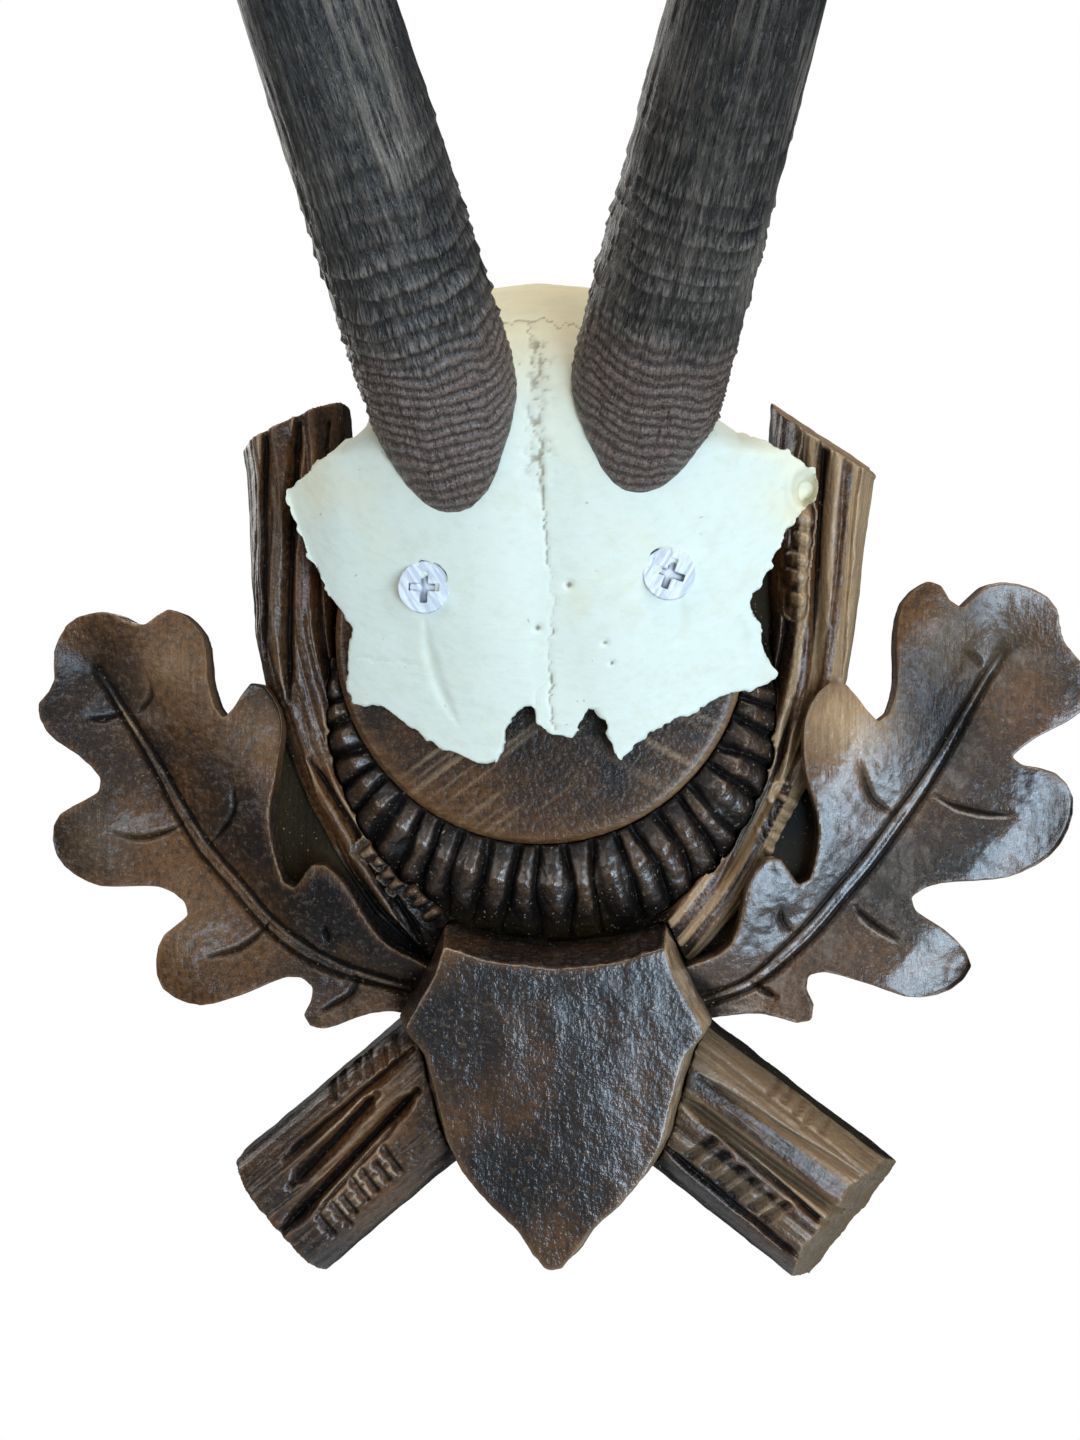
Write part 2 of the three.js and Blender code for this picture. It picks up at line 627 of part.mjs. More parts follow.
function buildTrophy() {
  const trophy = new THREE.Group();
  addPiece(trophy, "skull_cap", skullCap(), BONE);
  for (const side of ["left", "right"]) {
    addPiece(trophy, `horn_${side}`, horn(HORN_FEET[side]), HORN);
    addPiece(trophy, `screw_${side}`, screw(SCREWS[side]), PAINTED_STEEL);
  }
  return trophy;
}

const model = new THREE.Group();
model.add(buildPlaque(), buildTrophy());

export default model;
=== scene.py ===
import json
import math

import bpy
import numpy as np
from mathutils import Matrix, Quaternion, Vector

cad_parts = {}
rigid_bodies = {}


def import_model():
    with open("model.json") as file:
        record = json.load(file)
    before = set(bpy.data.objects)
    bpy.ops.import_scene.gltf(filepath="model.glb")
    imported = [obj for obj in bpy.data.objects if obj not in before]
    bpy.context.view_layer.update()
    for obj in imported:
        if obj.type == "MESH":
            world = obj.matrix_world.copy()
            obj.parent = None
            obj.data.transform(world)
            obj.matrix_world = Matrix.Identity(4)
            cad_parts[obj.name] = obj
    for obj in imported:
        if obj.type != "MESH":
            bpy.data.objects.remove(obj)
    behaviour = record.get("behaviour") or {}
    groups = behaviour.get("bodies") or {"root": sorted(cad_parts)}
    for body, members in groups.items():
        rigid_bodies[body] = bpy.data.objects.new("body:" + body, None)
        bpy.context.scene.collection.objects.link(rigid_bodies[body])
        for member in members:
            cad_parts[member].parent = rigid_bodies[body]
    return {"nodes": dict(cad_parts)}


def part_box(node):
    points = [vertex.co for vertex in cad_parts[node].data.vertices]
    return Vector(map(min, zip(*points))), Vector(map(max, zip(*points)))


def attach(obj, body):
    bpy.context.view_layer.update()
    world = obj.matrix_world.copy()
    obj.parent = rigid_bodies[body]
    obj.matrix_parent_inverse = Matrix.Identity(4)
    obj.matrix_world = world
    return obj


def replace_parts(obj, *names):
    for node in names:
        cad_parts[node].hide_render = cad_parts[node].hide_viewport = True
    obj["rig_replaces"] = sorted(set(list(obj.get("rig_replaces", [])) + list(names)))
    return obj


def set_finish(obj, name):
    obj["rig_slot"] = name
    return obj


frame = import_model()

bl_info = {
    "name": "Chamois Trophy",
    "version": (1, 0, 0),
    "blender": (4, 5, 0),
    "location": "View3D > Sidebar > Trophy",
    "description": "Bone, horn and carved wood for a chamois skull cap on a wall plaque",
    "category": "Object",
}

# Lengths below are millimetres in the plaque's own frame: x to the right, z up, depth in front of the wall
MM = 0.001

# Skull cap
SKULL_FOOT = (1, -19)
SKULL_ROLL = math.radians(2.8)
CREST_HEIGHTS = (-28, -10, 10, 25, 38, 50, 58, 65, 71, 75)
CREST_DEPTHS = (29, 36, 44, 49, 53, 51, 47.5, 42, 34, 26)
MIDLINE_SUTURE = (
    (-2.8, 60), (-2.4, 53), (-1.4, 44.6), (-0.8, 29), (0.1, 14), (0.9, 6), (0.1, 0.3), (0.6, -19),
)
CORONAL_SUTURE = ((-15, 56), (-10.9, 58.5), (-5.6, 60.8), (0.3, 60.2), (8.2, 58.7), (12, 56.5))
SIDE_SUTURES = (
    ((-44, -4.6), (-36, -4.9), (-27, -5.9)),
    ((-0.5, -9), (-3, -13), (-3.4, -17)),
)
BONE_GROOVES = (
    ((-25.3, 2.7), (-24.5, -5), (-22, -13), (-19.2, -18.5)),
    ((26.1, 6.5), (26.4, 2), (25, -3)),
    ((38, 3), (39.2, -1.4), (38.6, -6)),
)
FORAMINA = ((4, 9.3, 0.7), (-2.4, 1, 0.6), (11.1, -2, 0.45), (12.5, -6, 0.45), (-20, 25, 0.4))
BROKEN_CORNER = (51.3, 28.6)

# Horns: foot on the skull and sideways lean in degrees
HORN_FEET = {"left": (-19.9, 44.6, -11), "right": (18.6, 45.6, 12.1)}
HORN_LENGTH = 225
HORN_ROOT = 20

# Oak leaves: the middle rib from tip to stalk, then each side vein
MIDRIBS = {
    "left": (
        (-100.3, -7), (-95.4, -14.9), (-88.7, -25.2), (-82, -37.2), (-76.5, -45.9), (-69.8, -53.5),
        (-63.2, -61.1), (-55.5, -67.2), (-47.8, -71.2), (-34.7, -76.1),
    ),
    "right": (
        (94.8, -3.7), (91.6, -9), (87.4, -16.4), (83.2, -23.9), (78, -32.4), (72.7, -39.9), (67.4, -47.4),
        (62.1, -53.8), (55.8, -61.4), (49.4, -67.8), (41.9, -74.3), (33.8, -78.3),
    ),
}
VEINS = {
    "left": (
        ((-88.1, -8.8), (-88.1, -12.5), (-91.8, -16)),
        ((-102.5, -17.1), (-99, -17.3), (-95.1, -15.8)),
        ((-69.3, -31.2), (-69.3, -37), (-72.2, -41.4), (-75.5, -44.7)),
        ((-96.5, -41.9), (-90.3, -43.2), (-84.7, -41.9), (-81, -39.7)),
        ((-75.9, -69), (-68.2, -67), (-63.4, -63), (-62.1, -61.3)),
        ((-51.2, -80.9), (-45.3, -77.6), (-43.7, -74.8), (-44.2, -72.6)),
        ((-49.6, -61.8), (-49.6, -64), (-49, -66.2)),
    ),
    "right": (
        ((80.7, -33.4), (84.9, -35.7), (91.2, -37.2), (96.8, -37.4)),
        ((63.5, -56.8), (67.1, -60.4), (73.4, -64.6)),
        ((64.4, -26), (66, -31.3), (68.1, -34.9), (72.8, -37.9)),
        ((48.3, -56.9), (48.7, -60.5), (51.3, -63.3)),
        ((42.8, -74), (45.5, -75.8), (48.1, -77.1)),
        ((86.6, -2.7), (89.4, -4.2), (91.2, -6.5)),
    ),
}

# Places where the stain of a leaf is rubbed through: x, z, reach and share
RUBBED = {
    "left": ((-82, -6, 9, 0.2), (-62, -20, 8, 0.15), (-80, -62, 9, 0.12), (-98, -44, 8, 0.12)),
    "right": ((61, -17, 9, 0.95), (84, 0, 10, 0.15), (96, 2, 9, 0.12), (80, -68, 8, 0.1)),
}

# Places where the stain of a leaf came out redder or darker: x, z, reach and change
LEAF_STAINS = {
    "left": (
        (-80, -3, 9, 0.15), (-82, -52, 10, 0.2), (-78, -70, 9, 0.14), (-63, -26, 7, 0.12),
        (-65, -43, 11, -0.3), (-50, -59, 9, -0.3), (-107, -14, 8, -0.3), (-88, -26, 8, -0.2),
        (-97, -35, 6, -0.15),
    ),
    "right": (
        (61, -18, 10, 0.2), (77, 3, 8, 0.22), (94, 8, 8, 0.05), (82, -68, 8, 0.14), (83, -9, 10, -0.3),
        (91, -1, 7, -0.2), (73, -56, 10, -0.25),
    ),
}

# Branches: the line each one runs along, and the half width it has there
BRANCHES = {
    "branch_upper_left": (
        (-58.3, 48.5), (-56.7, 28), (-57.3, 2), (-52, -22), (-42.5, -43), (-34, -56), (-20, -70),
    ),
    "branch_upper_right": ((59, 46.5), (57, 26), (56, 4), (52.5, -18), (43.5, -38), (35, -54), (22, -70)),
    "branch_lower_left": ((-12, -85.5), (-36, -105.8), (-61.5, -127.4)),
    "branch_lower_right": ((12, -87.6), (38, -107.4), (66.5, -129.2)),
}
BRANCH_HALF_WIDTHS = {
    "branch_upper_left": 9.5,
    "branch_upper_right": 9.5,
    "branch_lower_left": 15.5,
    "branch_lower_right": 16,
}
# Gouge lines along the branches: route, half width, and depth as a share of the usual one
GOUGES = {
    "branch_upper_left": (
        (((-54.7, 49), (-56.8, 17), (-57.9, -13)), 1.1, 1.5),
        (((-49.2, 47), (-50.8, 21), (-50.8, 0), (-46, -22)), 0.8, 1.3),
        (((-62, 46), (-62.5, 20), (-63, -4)), 0.9, 1.2),
        (((-53.5, -26.2), (-41.4, -45.8), (-28.3, -67.5)), 0.9, 1.4),
        (((-50, -32), (-40, -50), (-31, -65)), 0.6, 1.0),
    ),
    "branch_upper_right": (
        (((57.5, 45), (56, 16), (55.5, -11), (50, -30)), 1.3, 1.6),
        (((53.4, 42), (52, 30), (49.5, 0), (46, -20)), 0.9, 1.4),
        (((64.5, 40), (62.5, 16), (61.5, -8)), 0.7, 0.9),
        (((51, -13), (46.3, -34.7), (35.6, -54.1)), 0.8, 1.3),
    ),
    "branch_lower_left": (
        (((-38, -97.5), (-47.1, -107.8), (-56, -117)), 1.5, 1.7),
        (((-29, -96.5), (-43.8, -112), (-58, -127)), 1.4, 2.0),
        (((-33, -103), (-44, -115), (-51, -123)), 0.5, 0.9),
        (((-30, -88), (-44, -100), (-58, -112)), 0.9, 1.2),
    ),
    "branch_lower_right": (
        (((27, -97.2), (43.7, -109.6), (62, -123)), 1.1, 2.0),
        (((29.6, -99.4), (42.6, -110.7), (58.5, -124.6)), 0.7, 1.3),
        (((30.8, -92.6), (48, -103.5), (67, -115.3)), 0.6, 0.7),
        (((24, -108), (38, -120), (52, -131)), 0.9, 1.2),
    ),
}
# Rows of raised beads and of cut notches: first, last, how many, and length of each
BEAD_ROWS = {
    "branch_upper_left": (((-39.9, -45.8), (-26.6, -59.1), 7, 5.5),),
    "branch_upper_right": (((52, 25), (51.2, 8.5), 5, 4.5), ((50.5, -35), (47.5, -46), 5, 6)),
    "branch_lower_left": (),
    "branch_lower_right": (),
}
NOTCH_ROWS = {
    "branch_upper_left": (),
    "branch_upper_right": (),
    "branch_lower_left": (
        ((-34, -88.5), (-48.7, -97.8), 6, 5),
        ((-34.6, -111), (-48.2, -125.6), 7, 7.5),
    ),
    "branch_lower_right": (
        ((46.9, -96.5), (57.5, -104.5), 5, 4.5),
        ((31, -108), (46.4, -121.8), 6, 8),
    ),
}
# How much further each piece is darkened beyond its recesses, by stain and painted shade, in millimetres of
# depth
EXTRA_STAIN_AND_SHADE = {"carved_medallion_border": 3.4, "carved_back_board": 5}
# How much redder than usual the stain of each piece has come out
WARMTH = {
    "oak_leaf_left": 0.09,
    "oak_leaf_right": 0.05,
    "branch_upper_left": 0.07,
    "branch_upper_right": 0.1,
    "medallion": 0.08,
    "shield": -0.04,
    "medallion_border": -0.08,
}
# How well each piece is waxed
WAX = {
    "oak_leaf_left": 0.18,
    "branch_upper_left": 0.3,
    "branch_upper_right": 0.3,
    "medallion": 0.3,
    "medallion_border": 0.8,
    "shield": 0.75,
}

MEDALLION_CENTRE = (-3, 0)
GADROONS_PER_TURN = 54
SCREW_TURNS = {"left": 2, "right": 20}


class TrophyCarving(bpy.types.PropertyGroup):
    fineness: bpy.props.FloatProperty(
        name="Fineness", description="Spacing of the points on carved wood", default=0.00042, unit="LENGTH"
    )
    vein_depth: bpy.props.FloatProperty(
        name="Vein depth", description="Depth of the cuts for the leaf veins", default=0.0009, unit="LENGTH"
    )
    rib_spread: bpy.props.FloatProperty(
        name="Rib width", description="Half width of a leaf rib", default=0.0016, unit="LENGTH"
    )
    gouge_depth: bpy.props.FloatProperty(
        name="Gouge depth", description="Depth of a usual gouge line", default=0.0021, unit="LENGTH"
    )
    notch_depth: bpy.props.FloatProperty(
        name="Notch depth", description="Depth of the notches on branches", default=0.0016, unit="LENGTH"
    )
    tool_marks: bpy.props.FloatProperty(
        name="Tool marks", description="Unevenness left by the carving tools", default=0.00025, unit="LENGTH"
    )


class TrophyBone(bpy.types.PropertyGroup):
    fineness: bpy.props.FloatProperty(
        name="Fineness", description="Spacing of the points on the bone", default=0.00053, unit="LENGTH"
    )
    suture_depth: bpy.props.FloatProperty(
        name="Suture depth", description="Depth of the seams between the bones", default=0.0005, unit="LENGTH"
    )
    breakage: bpy.props.FloatProperty(
        name="Breakage", description="Raggedness of the broken edges", default=0.0009, unit="LENGTH"
    )


class TrophyHorn(bpy.types.PropertyGroup):
    sides: bpy.props.IntProperty(name="Sides", description="Points round a horn", default=196)
    rings: bpy.props.IntProperty(name="Rings", description="Points along a horn", default=500)
    ridge_pitch: bpy.props.FloatProperty(
        name="Ridge spacing", description="Distance between a horn's rings", default=0.0044, unit="LENGTH"
    )
    ridge_height: bpy.props.FloatProperty(
        name="Ridge height", description="Height of the rings of a horn", default=0.0008, unit="LENGTH"
    )
    fibre_depth: bpy.props.FloatProperty(
        name="Fibre depth", description="Depth of the furrows along a horn", default=0.0003, unit="LENGTH"
    )


class TrophyStage(bpy.types.PropertyGroup):
    key_power: bpy.props.FloatProperty(
        name="Key light", description="Power of the soft light on the right", default=5, unit="POWER"
    )
    sheen_power: bpy.props.FloatProperty(
        name="Sheen light", description="Power of the light that shines in the wood", default=11, unit="POWER"
    )
    fill_power: bpy.props.FloatProperty(
        name="Fill light", description="Power of the soft light on the left", default=4.2, unit="POWER"
    )
    ceiling_power: bpy.props.FloatProperty(
        name="Ceiling light", description="Power of the soft light from above", default=10, unit="POWER"
    )
    back_power: bpy.props.FloatProperty(
        name="Back light", description="Power of the soft light behind", default=5, unit="POWER"
    )
    surround: bpy.props.FloatProperty(
        name="Surround", description="Brightness of the room around the trophy", default=0.09
    )
    floor_drop: bpy.props.FloatProperty(
        name="Floor drop", description="Height of the trophy above the floor", default=1.2, unit="LENGTH"
    )


def use(piece):
    """Makes a piece the only one selected."""
    bpy.ops.object.select_all(action="DESELECT")
    piece.select_set(True)
    bpy.context.view_layer.objects.active = piece


def apply(piece, kind, **settings):
    """Adds a modifier to a piece and applies it."""
    modifier = piece.modifiers.new(kind.title(), kind)
    for name, value in settings.items():
        setattr(modifier, name, value)
    use(piece)
    bpy.ops.object.modifier_apply(modifier=modifier.name)


def blank(node, fineness, rounds):
    """A blank to carve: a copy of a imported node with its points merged, evenly re-skinned and softened."""
    mesh = frame["nodes"][node].data.copy()
    mesh.materials.clear()
    piece = bpy.data.objects.new("carved_" + node, mesh)
    bpy.context.scene.collection.objects.link(piece)
    use(piece)
    bpy.ops.object.mode_set(mode="EDIT")
    bpy.ops.mesh.select_all(action="SELECT")
    bpy.ops.mesh.remove_doubles(threshold=1e-6)
    bpy.ops.object.mode_set(mode="OBJECT")
    apply(piece, "REMESH", mode="VOXEL", voxel_size=fineness)
    apply(piece, "SMOOTH", factor=0.5, iterations=rounds)
    return piece


def finish_piece(piece, node, slot, material):
    use(piece)
    bpy.ops.object.shade_smooth()
    piece.data.materials.append(material)
    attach(piece, "root")
    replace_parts(piece, node)
    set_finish(piece, slot)


def points_of(piece):
    """A piece's points in millimetres, one row each."""
    flat = np.empty(len(piece.data.vertices) * 3)
    piece.data.vertices.foreach_get("co", flat)
    return flat.reshape(-1, 3) / MM


def place_points(piece, points):
    piece.data.vertices.foreach_set("co", (points * MM).ravel())
    piece.data.update()


def normals_of(piece):
    flat = np.empty(len(piece.data.vertices) * 3)
    piece.data.vertex_normals.foreach_get("vector", flat)
    return flat.reshape(-1, 3)


def opened(piece):
    """A piece with its points, its normals, and its points' places across and up."""
    points = points_of(piece)
    return piece, points, normals_of(piece), points[:, 0], points[:, 2]


def note(piece, name, values):
    """Keeps a number, or a row of three, at each point of a piece for its finish to read."""
    kind = "FLOAT" if values.ndim == 1 else "FLOAT_VECTOR"
    layer = piece.data.attributes.new(name, kind, "POINT")
    layer.data.foreach_set("value" if values.ndim == 1 else "vector", values.ravel().astype(np.float32))


def relaxed(piece, values, rounds):
    """Rows of values at a piece's points, evened out with their neighbours."""
    ends = np.empty(len(piece.data.edges) * 2, dtype=np.int32)
    piece.data.edges.foreach_get("vertices", ends)
    first, second = ends.reshape(-1, 2).T
    count = len(values)
    neighbours = np.bincount(first, minlength=count) + np.bincount(second, minlength=count)
    for _ in range(rounds):
        sums = [
            np.bincount(first, column[second], count) + np.bincount(second, column[first], count)
            for column in values.T
        ]
        values = 0.5 * values + 0.5 * np.stack(sums, axis=1) / neighbours[:, None]
    return values


def note_hollows(piece):
    """Keeps how far each point lies below its surroundings, close by and farther off, in millimetres."""
    points = points_of(piece)
    normals = normals_of(piece)
    near = relaxed(piece, points, 8)
    far = relaxed(piece, near, 120)
    note(piece, "edge", ((near - points) * normals).sum(axis=1))
    note(piece, "hollow", ((far - points) * normals).sum(axis=1))


def rows(*columns):
    """Columns of numbers side by side, one row for each point."""
    return np.stack(columns, 1)


def bell(values, reach):
    """Share that is 1 at no distance and dies away smoothly over the reach."""
    return np.exp(-((values / reach) ** 2))


def smoothstep(values, low, high):
    share = np.clip((values - low) / (high - low), 0, 1)
    return share * share * (3 - 2 * share)


def noise(places, seed):
    """Smooth noise from -1 to 1 at rows of three numbers, one swell to a unit."""
    cell = np.floor(places).astype(np.int64)
    part = places - cell
    part = part * part * (3 - 2 * part)
    total = np.zeros(len(places))
    for corner in np.ndindex(2, 2, 2):
        x, y, z = (cell + np.array(corner)).T
        mixed = (x * 73856093) ^ (y * 19349663) ^ (z * 83492791) ^ (seed * 40503)
        mixed = ((mixed ^ (mixed >> 13)) * 1274126177) & 0x7FFFFFFF
        value = ((mixed ^ (mixed >> 15)) & 0xFFFF) / 32767.5 - 1
        total += value * np.prod(np.where(np.array(corner) == 1, part, 1 - part), axis=1)
    return total


def rough(places, seed):
    """Noise with finer noise on top of it."""
    return noise(places, seed) + 0.5 * noise(places * 2.1, seed + 1) + 0.25 * noise(places * 4.3, seed + 2)


def curve(route, steps=12):
    """The route drawn as a smooth curve through its points."""
    knots = np.array([route[0], *route, route[-1]], dtype=float)
    share = np.linspace(0, 1, steps, endpoint=False)[:, None]
    spans = []
    for a, b, c, d in zip(knots, knots[1:], knots[2:], knots[3:]):
        bend, twist = 2 * a - 5 * b + 4 * c - d, 3 * b - a - 3 * c + d
        spans.append(0.5 * (2 * b + (c - a) * share + bend * share**2 + twist * share**3))
    return np.concatenate([*spans, knots[-1:]])


def beside(route, x, z):
    """Distance along a route, signed distance to its side, and the route's length."""
    nearest = np.full(len(x), np.inf)
    along = np.zeros(len(x))
    aside = np.zeros(len(x))
    start = 0
    for (x0, z0), (x1, z1) in zip(route, route[1:]):
        length = math.hypot(x1 - x0, z1 - z0)
        ux, uz = (x1 - x0) / length, (z1 - z0) / length
        run = np.clip((x - x0) * ux + (z - z0) * uz, 0, length)
        dx, dz = x - x0 - run * ux, z - z0 - run * uz
        gap = np.hypot(dx, dz)
        closer = gap < nearest
        nearest = np.where(closer, gap, nearest)
        along = np.where(closer, start + run, along)
        aside = np.where(closer, np.where(ux * dz - uz * dx < 0, -gap, gap), aside)
        start += length
    return along, aside, start


def gouge(route, x, z, width, blunt=1):
    """Share of a gouge cut along a route at each place, thinning out at both ends unless it is blunt."""
    along, aside, length = beside(curve(route), x, z)
    fade = np.minimum(1, blunt * np.sin(np.pi * np.clip(along / length, 0.03, 0.97))) ** 0.5
    return fade * bell(aside, width * fade)


def row_places(row, x, z):
    """Distances from the nearest mark of a row, along the row and across it, as shares of the mark's size."""
    (x0, z0), (x1, z1), count, length = row
    span = math.hypot(x1 - x0, z1 - z0)
    ux, uz = (x1 - x0) / span, (z1 - z0) / span
    along = (x - x0) * ux + (z - z0) * uz
    aside = (z - z0) * ux - (x - x0) * uz
    pitch = span / (count - 1)
    nearest = np.clip(np.round(along / pitch), 0, count - 1)
    off = along - nearest * pitch - 0.2 * aside + 0.1 * pitch * np.sin(nearest * 2.9)
    size = 0.5 * length * (1 + 0.14 * np.cos(nearest * 2.4))
    return off / (0.5 * pitch), (aside - 0.5 * np.sin(nearest * 1.7)) / size


def notches(row, x, z):
    """Share of a row of short gouge notches cut square to the row."""
    off, across = row_places(row, x, z)
    return (1 - smoothstep(np.abs(across), 0.65, 1)) * bell(off, 0.5)


def beads(row, x, z):
    """Height of a row of rounded beads in a sunk bed, from -0.6 in the gaps to 0.9 on the beads."""
    off, across = row_places(row, x, z)
    reach = np.hypot(off / 0.86, np.abs(across) ** 1.6)
    bed = 1 - smoothstep(np.hypot(np.maximum(np.abs(off) - 1, 0), across), 0.95, 1.35)
    swell = np.sqrt(np.clip(1 - reach**2, 0, 1))
    return bed * (1.5 * swell - 0.6)


def crest_depth(z):
    offsets = (-5, -2.5, 0, 2.5, 5)
    return sum(np.interp(z + offset, CREST_HEIGHTS, CREST_DEPTHS) for offset in offsets) / len(offsets)


def plain_bone_depth(x, z):
    """The lie of the bone before its details."""
    offside = x - SKULL_FOOT[0] + (z - SKULL_FOOT[1]) * math.tan(SKULL_ROLL)
    crest = crest_depth(z)
    brow = crest - 9 * (offside / 46) ** 2
    dome = 24 + (crest - 24) * np.sqrt(np.maximum(0, 1 - (offside / 39) ** 2))
    share = smoothstep(z, 34, 48)
    return brow + (dome - brow) * share


def bone_depth(x, z):
    """The lie of the bone with its swellings at the horns and its hollow brow."""
    depth = plain_bone_depth(x, z)
    offside = x - SKULL_FOOT[0] + (z - SKULL_FOOT[1]) * math.tan(SKULL_ROLL)
    for foot_x, foot_z, _ in HORN_FEET.values():
        depth += 2.2 * bell(np.hypot(x - foot_x, z - foot_z + 3), 17)
    depth -= 0.9 * bell(offside, 6) * smoothstep(z, -22, 0) * smoothstep(60 - z, 0, 20)
    depth += 0.8 * np.exp(-((np.abs(offside) - 14) / 9) ** 2) * bell(z + 2, 16)
    depth -= 1.4 * smoothstep(np.abs(offside), 40, 54)
    return depth


def ragged(route, x, z, swing, seed):
    """Distance from a seam that wanders to and fro along a route, and how far along it is."""
    along, aside, length = beside(curve(route), x, z)
    zeros = np.zeros(len(x))
    wander = noise(rows(along / 1.5, zeros, zeros), seed) + 0.6 * noise(
        rows(along / 0.6, zeros, zeros), seed + 1
    )
    return np.abs(aside + swing * wander), along, length


def make_skull(settings):
    piece = blank("skull_cap", settings.fineness, 3)
    points = points_of(piece)
    normals = normals_of(piece)
    x, z = points[:, 0].copy(), points[:, 2].copy()
    depth = -points[:, 1]
    plain = plain_bone_depth(x, z)
    outer = smoothstep(-normals[:, 1], 0.05, 0.45) * (np.abs(depth - plain) < 2.2)
    for side in SCREW_TURNS:
        low, high = (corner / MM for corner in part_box("screw_" + side))
        near = np.hypot(x - (low[0] + high[0]) / 2, z - (low[2] + high[2]) / 2) < 6.5
        outer = np.where(near & (depth > plain - 2.2), 1, outer)
    lie = bone_depth(x, z)

    seam = np.zeros(len(x))
    tight = 0.45 + 0.5 * smoothstep(z, 25, 40)
    gap, _, _ = ragged(MIDLINE_SUTURE, x, z, tight, 11)
    seam = np.maximum(seam, (0.72 + 0.3 * noise(rows(x, z / 5, x * 0), 13)) * bell(gap, 0.36))
    gap, _, _ = ragged(CORONAL_SUTURE, x, z, 1.1, 21)
    seam = np.maximum(seam, 0.75 * bell(gap, 0.36))
    for number, route in enumerate(SIDE_SUTURES):
        gap, _, _ = ragged(route, x, z, 0.4, 31 + number)
        seam = np.maximum(seam, 0.4 * bell(gap, 0.36))
    hollow = np.zeros(len(x))
    for route in BONE_GROOVES:
        hollow = np.maximum(hollow, gouge(route, x, z, 1.3))
    pits = np.zeros(len(x))
    for pit_x, pit_z, radius in FORAMINA:
        pits = np.maximum(pits, bell(np.hypot(x - pit_x, z - pit_z), radius))
    # Strip between the horns: porous bone there, and painted shade through the seam share
    strip = bell(np.abs(x + 1.5), 3.2) * smoothstep(z, 20, 32) * (1 - smoothstep(z, 55, 60))
    flat = np.zeros(len(x))
    porous = strip * smoothstep(rough(rows(x / 0.7, z / 0.9, flat), 46), 0.15, 0.8)
    corner = np.hypot(x - BROKEN_CORNER[0], (z - BROKEN_CORNER[1]) * 0.8)
    cup = np.clip(1 - (corner / 3) ** 2, 0, 1)
    rim = bell(corner - 3.6, 1.1)
    places = rows(x, z, np.zeros(len(x)))
    uneven = 0.14 * rough(places / 13, 41) + 0.03 * rough(places / 2.2, 44)
    carved = lie + uneven - settings.suture_depth / MM * seam - 0.55 * hollow
    carved += -1.1 * pits - 0.45 * porous - 3.2 * cup + 0.9 * rim

    points[:, 1] = -(depth + outer * (carved - depth))
    spread = relaxed(piece, (1 - outer)[:, None], 6)[:, 0]
    edge = smoothstep(spread, 0.12, 0.5) * (1 - smoothstep(z, 38, 46))
    bite = settings.breakage / MM
    points[:, 0] += bite * edge * rough(places / 2.6, 51)
    points[:, 2] += bite * edge * rough(places / 2.6, 61)
    place_points(piece, points)
    apply(piece, "SMOOTH", factor=0.35, iterations=1)

    yellow = smoothstep(z, 30, 62) + 0.7 * bell(corner, 9)
    yellow += 0.5 * bell(np.hypot(x + 52, z - 28), 10)
    # The seam share also holds the strip between the horns, which paints shade there
    note(piece, "seam", np.clip(np.maximum(np.maximum(seam, pits), 0.42 * porous + 0.36 * strip), 0, 1))
    note(piece, "yellow", np.clip(yellow, 0, 1))
    note_hollows(piece)
    finish_piece(piece, "skull_cap", "bone", bone_finish())


def horn_tube(name, sides, rings):
    """Upright closed tube of radius 1 from height 0 to 1."""
    bpy.ops.object.select_all(action="DESELECT")
    bpy.ops.mesh.primitive_circle_add(vertices=sides, radius=1, fill_type="NOTHING")
    piece = bpy.context.object
    piece.name = name
    apply(piece, "SCREW", angle=0, screw_offset=1, steps=rings, render_steps=rings, axis="Z")
    bpy.ops.object.mode_set(mode="EDIT")
    bpy.ops.mesh.select_all(action="SELECT")
    bpy.ops.mesh.fill_holes(sides=0)
    bpy.ops.mesh.normals_make_consistent(inside=False)
    bpy.ops.object.mode_set(mode="OBJECT")
    return piece


def horn_axis(foot_x, foot_z, lean):
    """Places along a horn from its root to its tip with the heading at each, every half millimetre."""
    step = 0.5
    lengths = np.arange(-HORN_ROOT, HORN_LENGTH + step, step)

    def headings(s):
        tilt = np.radians(45 - 210 * smoothstep(s, 88, 234))
        side = math.radians(lean)
        onward = math.cos(side)
        return rows(np.full(len(s), math.sin(side)), -np.sin(tilt) * onward, np.cos(tilt) * onward)

    foot = np.array([foot_x, -plain_bone_depth(np.array([foot_x]), np.array([foot_z]))[0], foot_z])
    moves = headings(lengths[:-1] + step / 2) * step
    centres = np.concatenate([[[0, 0, 0]], np.cumsum(moves, axis=0)])
    start = np.searchsorted(lengths, 0)
    centres += foot - centres[start]
    return lengths, centres, headings(lengths)


